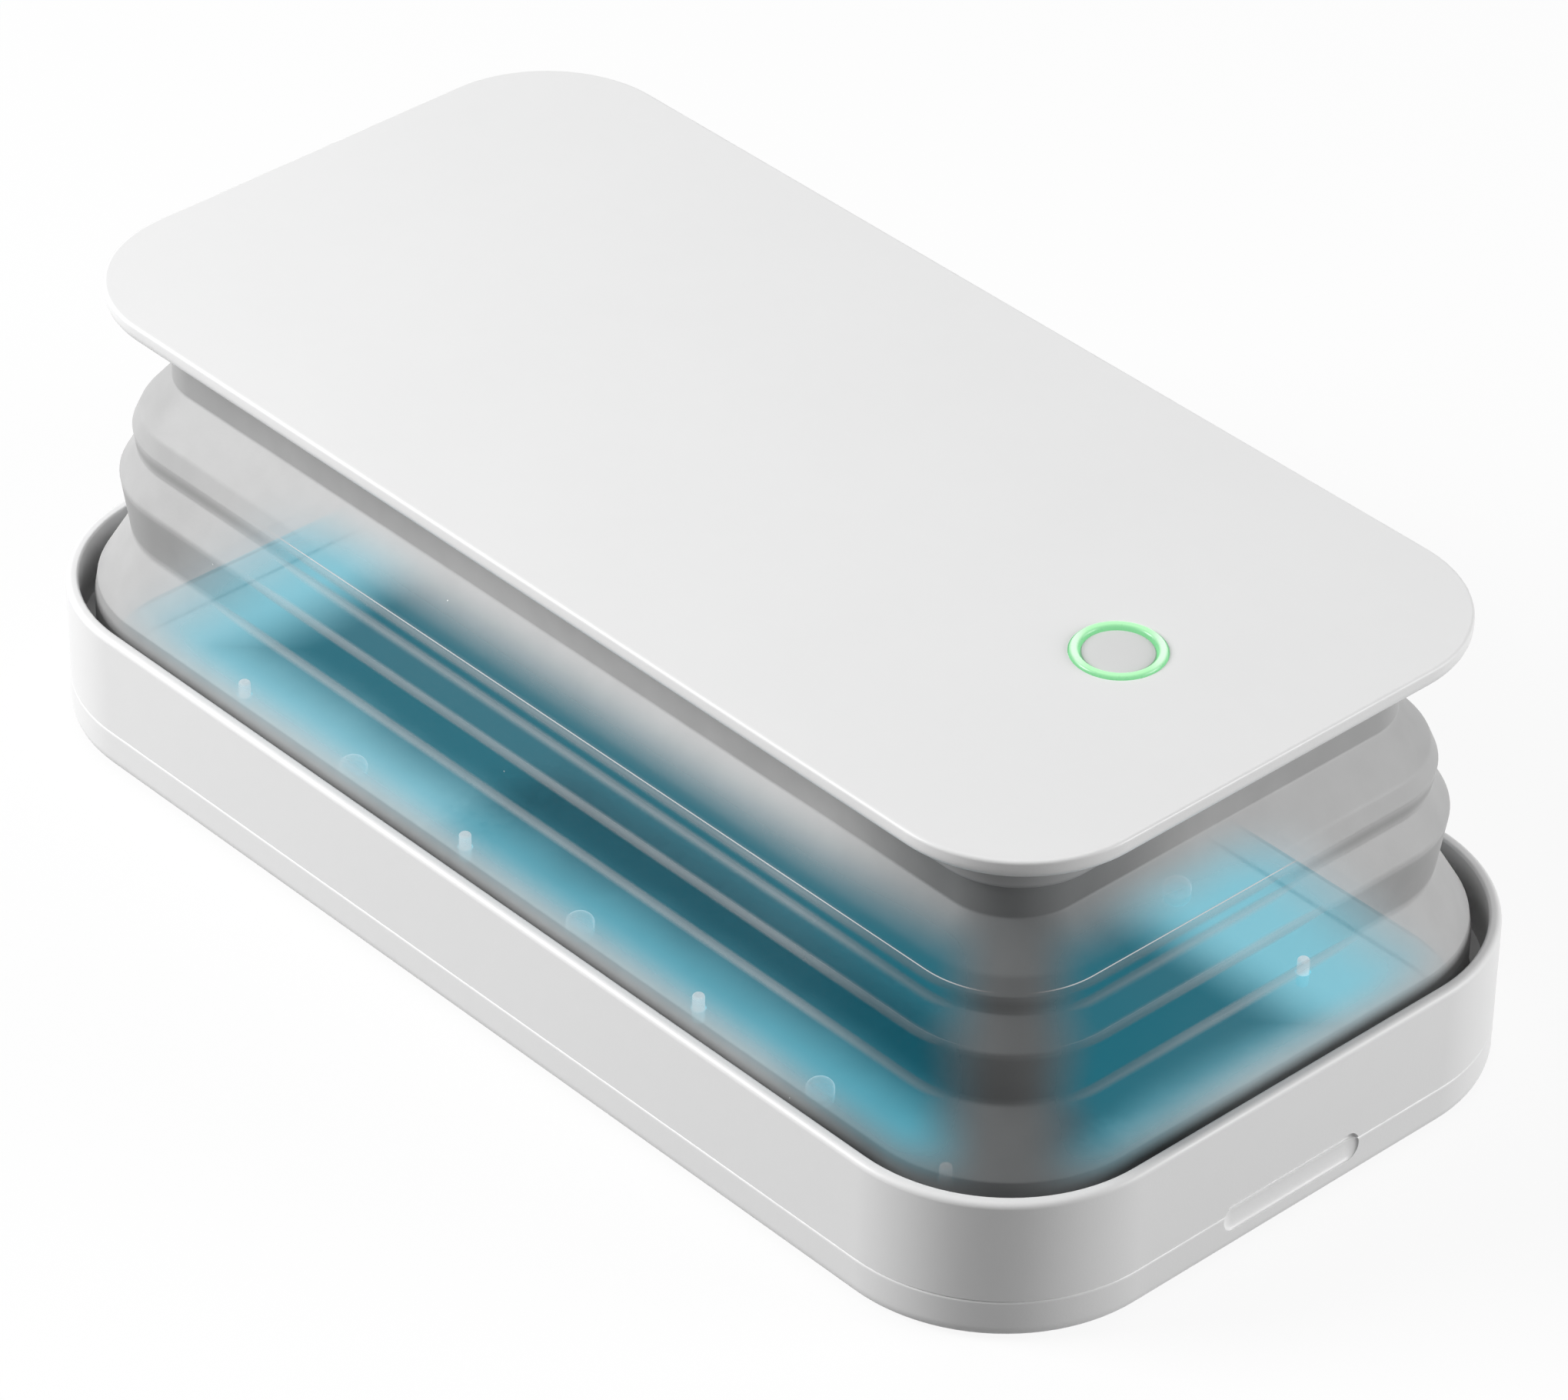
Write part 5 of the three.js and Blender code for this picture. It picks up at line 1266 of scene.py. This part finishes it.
class SANITIZER_OT_button(bpy.types.Operator):
    """Makes the light ring and the push button in it"""

    bl_idname = "sanitizer.button"
    bl_label = "Button"

    def execute(self, context):
        lid = context.scene.sanitizer_lid
        outer, inner = lid.ring_outer, lid.ring_inner
        middle, half = (outer + inner) / 2, (outer - inner) / 2
        low = lid.top - 2.2 * MM
        flange, flange_top = 7.8 * MM, low + 0.5 * MM
        profile = [(inner, low), (flange, low), (flange, flange_top), (outer, flange_top)]
        profile += [(middle + half * cosine, lid.top + lid.ring_proud * sine)
                    for cosine, sine in arc(RING_STEPS, 0, 2)]
        rings = [circle(radius, z, RING_SIDES, lid.button_x) for radius, z in profile]
        ring = skinned("ring_tube", rings, True)
        complete(ring, "lid", ring_light(), ["light_ring"], 40)

        edge, radius, top = 0.2 * MM, inner - 0.2 * MM, lid.top - 0.1 * MM
        flange, flange_low, flange_high = 5.6 * MM, low - 0.8 * MM, low - 0.2 * MM
        profile = [(0, flange_low), (flange, flange_low), (flange, flange_high), (radius, flange_high)]
        profile += [(radius - edge * (1 - cosine), top - edge * (1 - sine))
                    for cosine, sine in arc(ROUND_STEPS)]
        profile += [(radius - 4 * edge, top), (0, top)]
        cap = turned("press_cap", profile, RING_SIDES, (lid.button_x, 0, 0))
        grey = plastic("cap_grey", context.scene.sanitizer_colours.cap_grey, 0.45, 0.25 * MM)
        complete(cap, "button", grey, ["button_cap"])
        return {"FINISHED"}


class SANITIZER_OT_socket(bpy.types.Operator):
    """Makes the charging socket in the pan's end wall"""

    bl_idname = "sanitizer.socket"
    bl_label = "Charging socket"

    def execute(self, context):
        low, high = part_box("usb_socket")
        width, height, depth, wall = high.y - low.y, high.z - low.z, high.x - low.x, 0.35 * MM
        x, z = low.x - CENTRE_X, (low.z + high.z) / 2
        shell = prism("charge_port", oval(width, height), x, x + depth, z)
        mouth = oval(width - 2 * wall, height - 2 * wall)
        cut(shell, prism("mouth", mouth, x - OVERRUN, x + depth - OVERRUN, z))
        tongue = box("tongue", (depth - 1.6 * OVERRUN, 6.2 * MM, 0.7 * MM),
                     (x + (depth + 0.6 * OVERRUN) / 2, 0, z), 0.1 * MM)
        join(shell, tongue)
        complete(shell, "lid", steel(), ["usb_socket"])
        return {"FINISHED"}


class SANITIZER_OT_inner_parts(bpy.types.Operator):
    """Gives the CAD's pin, magnets, boards, switch and battery their finishes"""

    bl_idname = "sanitizer.inner_parts"
    bl_label = "Inner parts"

    def execute(self, context):
        colours = context.scene.sanitizer_colours
        magnet = metal("magnet_nickel", [1.15 * value for value in colours.steel], 0.22, (1, 12, 1))
        foil = metal("battery_foil", colours.foil, 0.38, (12, 1, 1))
        black = plastic("switch_black", colours.black, 0.5, 0.2 * MM)
        carried = (
            (steel(), ["hinge_pin", *(f"tray_screw_{number}" for number in range(1, 5))]),
            (circuit_board(), ["main_board", "charge_board", "uv_led_board"]),
            (magnet, [f"{part}_magnet_{side}" for part in ("tray", "cover") for side in ("left", "right")]),
            (foil, ["battery"]),
            (black, ["tact_switch"]),
        )
        for finish, names in carried:
            for name in names:
                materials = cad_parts[name].data.materials
                materials.clear()
                materials.append(finish)
        return {"FINISHED"}


def add_lamp(name, place, aim, size, power):
    """A square area lamp turned towards a point."""
    light = bpy.data.lights.new(name, "AREA")
    light.shape, light.size, light.energy = "SQUARE", size, power
    lamp = bpy.data.objects.new(name, light)
    lamp.location = place
    lamp.rotation_mode = "QUATERNION"
    lamp.rotation_quaternion = (Vector(aim) - Vector(place)).to_track_quat("-Z", "Y")
    bpy.context.scene.collection.objects.link(lamp)


class SANITIZER_OT_stage(bpy.types.Operator):
    """Makes the floor, the light and the camera"""

    bl_idname = "sanitizer.stage"
    bl_label = "Stage"

    def execute(self, context):
        settings = context.scene.sanitizer_stage
        colours = context.scene.sanitizer_colours
        half = 3.0
        corners = [Vector((x * half, y * half, 0)) for x, y in reversed(CORNER_SIDES)]
        floor = make_piece("stage_floor", corners, [(3, 2, 1, 0)])
        made, graph = new_finish("stage_floor")
        seen = graph.seen()
        tone = graph.blend(seen, colours.floor, (0.97, 0.97, 0.97))
        lit = graph.add("BsdfDiffuse", {"Color": tone}).outputs[0]
        bright = graph.add("Emission", {"Color": (1, 1, 1, 1), "Strength": 1.0}).outputs[0]
        share = graph.math("MULTIPLY", seen, 0.9)
        mixed = graph.add("MixShader", {0: share, 1: lit, 2: bright}).outputs[0]
        graph.add("OutputMaterial", {"Surface": mixed})
        floor.data.materials.append(made)

        world = bpy.data.worlds.new("soft_sky")
        world.use_nodes = True
        graph = Graph(world.node_tree)
        seen = graph.seen()
        strength = graph.add("MapRange", {"Value": seen, "To Min": settings.ambient, "To Max": 1.0})
        sky = graph.add("Background", {"Color": (1, 1, 1, 1), "Strength": strength.outputs[0]})
        graph.add("OutputWorld", {"Surface": sky.outputs[0]})
        context.scene.world = world

        add_lamp("left_softbox", (-0.53, -0.64, 0.58), (0, 0, 0.03), 0.45, settings.left_lamp)
        add_lamp("right_softbox", (0.78, 0.55, 0.32), (0, 0, 0.03), 0.45, settings.right_lamp)
        add_lamp("top_softbox", (-0.30, 0.05, 1.0), (0, 0, 0.05), 0.6, settings.top_lamp)

        azimuth, elevation, roll = settings.azimuth, settings.elevation, settings.roll
        back = Vector((math.sin(azimuth) * math.cos(elevation),
                       -math.cos(azimuth) * math.cos(elevation), math.sin(elevation)))
        level_right = Vector((math.cos(azimuth), math.sin(azimuth), 0))
        level_down = -back.cross(level_right)
        right = level_right * math.cos(roll) + level_down * math.sin(roll)
        down = level_down * math.cos(roll) - level_right * math.sin(roll)
        origin = Vector((CENTRE_X, 0, context.scene.sanitizer_case.bottom))
        place = (origin - right * settings.shift_right - down * settings.shift_down
                 + back * settings.distance)
        view = bpy.data.cameras.new("camera")
        view.sensor_width, view.lens = 36.0, settings.lens
        view.clip_start, view.clip_end = 0.01, 20.0
        camera = bpy.data.objects.new("camera", view)
        camera.matrix_world = Matrix.Translation(place) @ Matrix((right, -down, back)).transposed().to_4x4()
        context.scene.collection.objects.link(camera)
        context.scene.camera = camera
        context.scene.view_settings.view_transform = "Standard"
        return {"FINISHED"}


class SANITIZER_PT_panel(bpy.types.Panel):
    """Lists the sizes, the colours and the steps"""

    bl_idname = "SANITIZER_PT_panel"
    bl_label = "Sanitizer Box"
    bl_space_type = "VIEW_3D"
    bl_region_type = "UI"
    bl_category = "Sanitizer"

    def draw(self, context):
        for step in STEPS:
            self.layout.operator(step.bl_idname)
        for name, group in GROUPS.items():
            column = self.layout.column()
            column.label(text=group.__name__)
            for key in group.__annotations__:
                column.prop(getattr(context.scene, name), key)


GROUPS = {
    "sanitizer_case": CaseSizes,
    "sanitizer_bellows": BellowsSizes,
    "sanitizer_lid": LidSizes,
    "sanitizer_colours": FinishColours,
    "sanitizer_stage": StageSettings,
}
STEPS = (
    SANITIZER_OT_stage, SANITIZER_OT_tray, SANITIZER_OT_mirror, SANITIZER_OT_feet, SANITIZER_OT_rim,
    SANITIZER_OT_bellows, SANITIZER_OT_lid, SANITIZER_OT_pan, SANITIZER_OT_lamps, SANITIZER_OT_button,
    SANITIZER_OT_socket, SANITIZER_OT_inner_parts,
)


def register():
    """Registers the classes and hangs the groups on the scene."""
    for group in GROUPS.values():
        bpy.utils.register_class(group)
    for step in (*STEPS, SANITIZER_PT_panel):
        bpy.utils.register_class(step)
    for name, group in GROUPS.items():
        setattr(bpy.types.Scene, name, PointerProperty(type=group))


def unregister():
    """Takes the groups and classes away again."""
    for name in GROUPS:
        delattr(bpy.types.Scene, name)
    for made in (SANITIZER_PT_panel, *reversed(STEPS), *GROUPS.values()):
        bpy.utils.unregister_class(made)


def main():
    """Builds everything in order."""
    register()
    for step in STEPS:
        group, name = step.bl_idname.split(".")
        getattr(getattr(bpy.ops, group), name)()


if __name__ == "__main__":
    main()
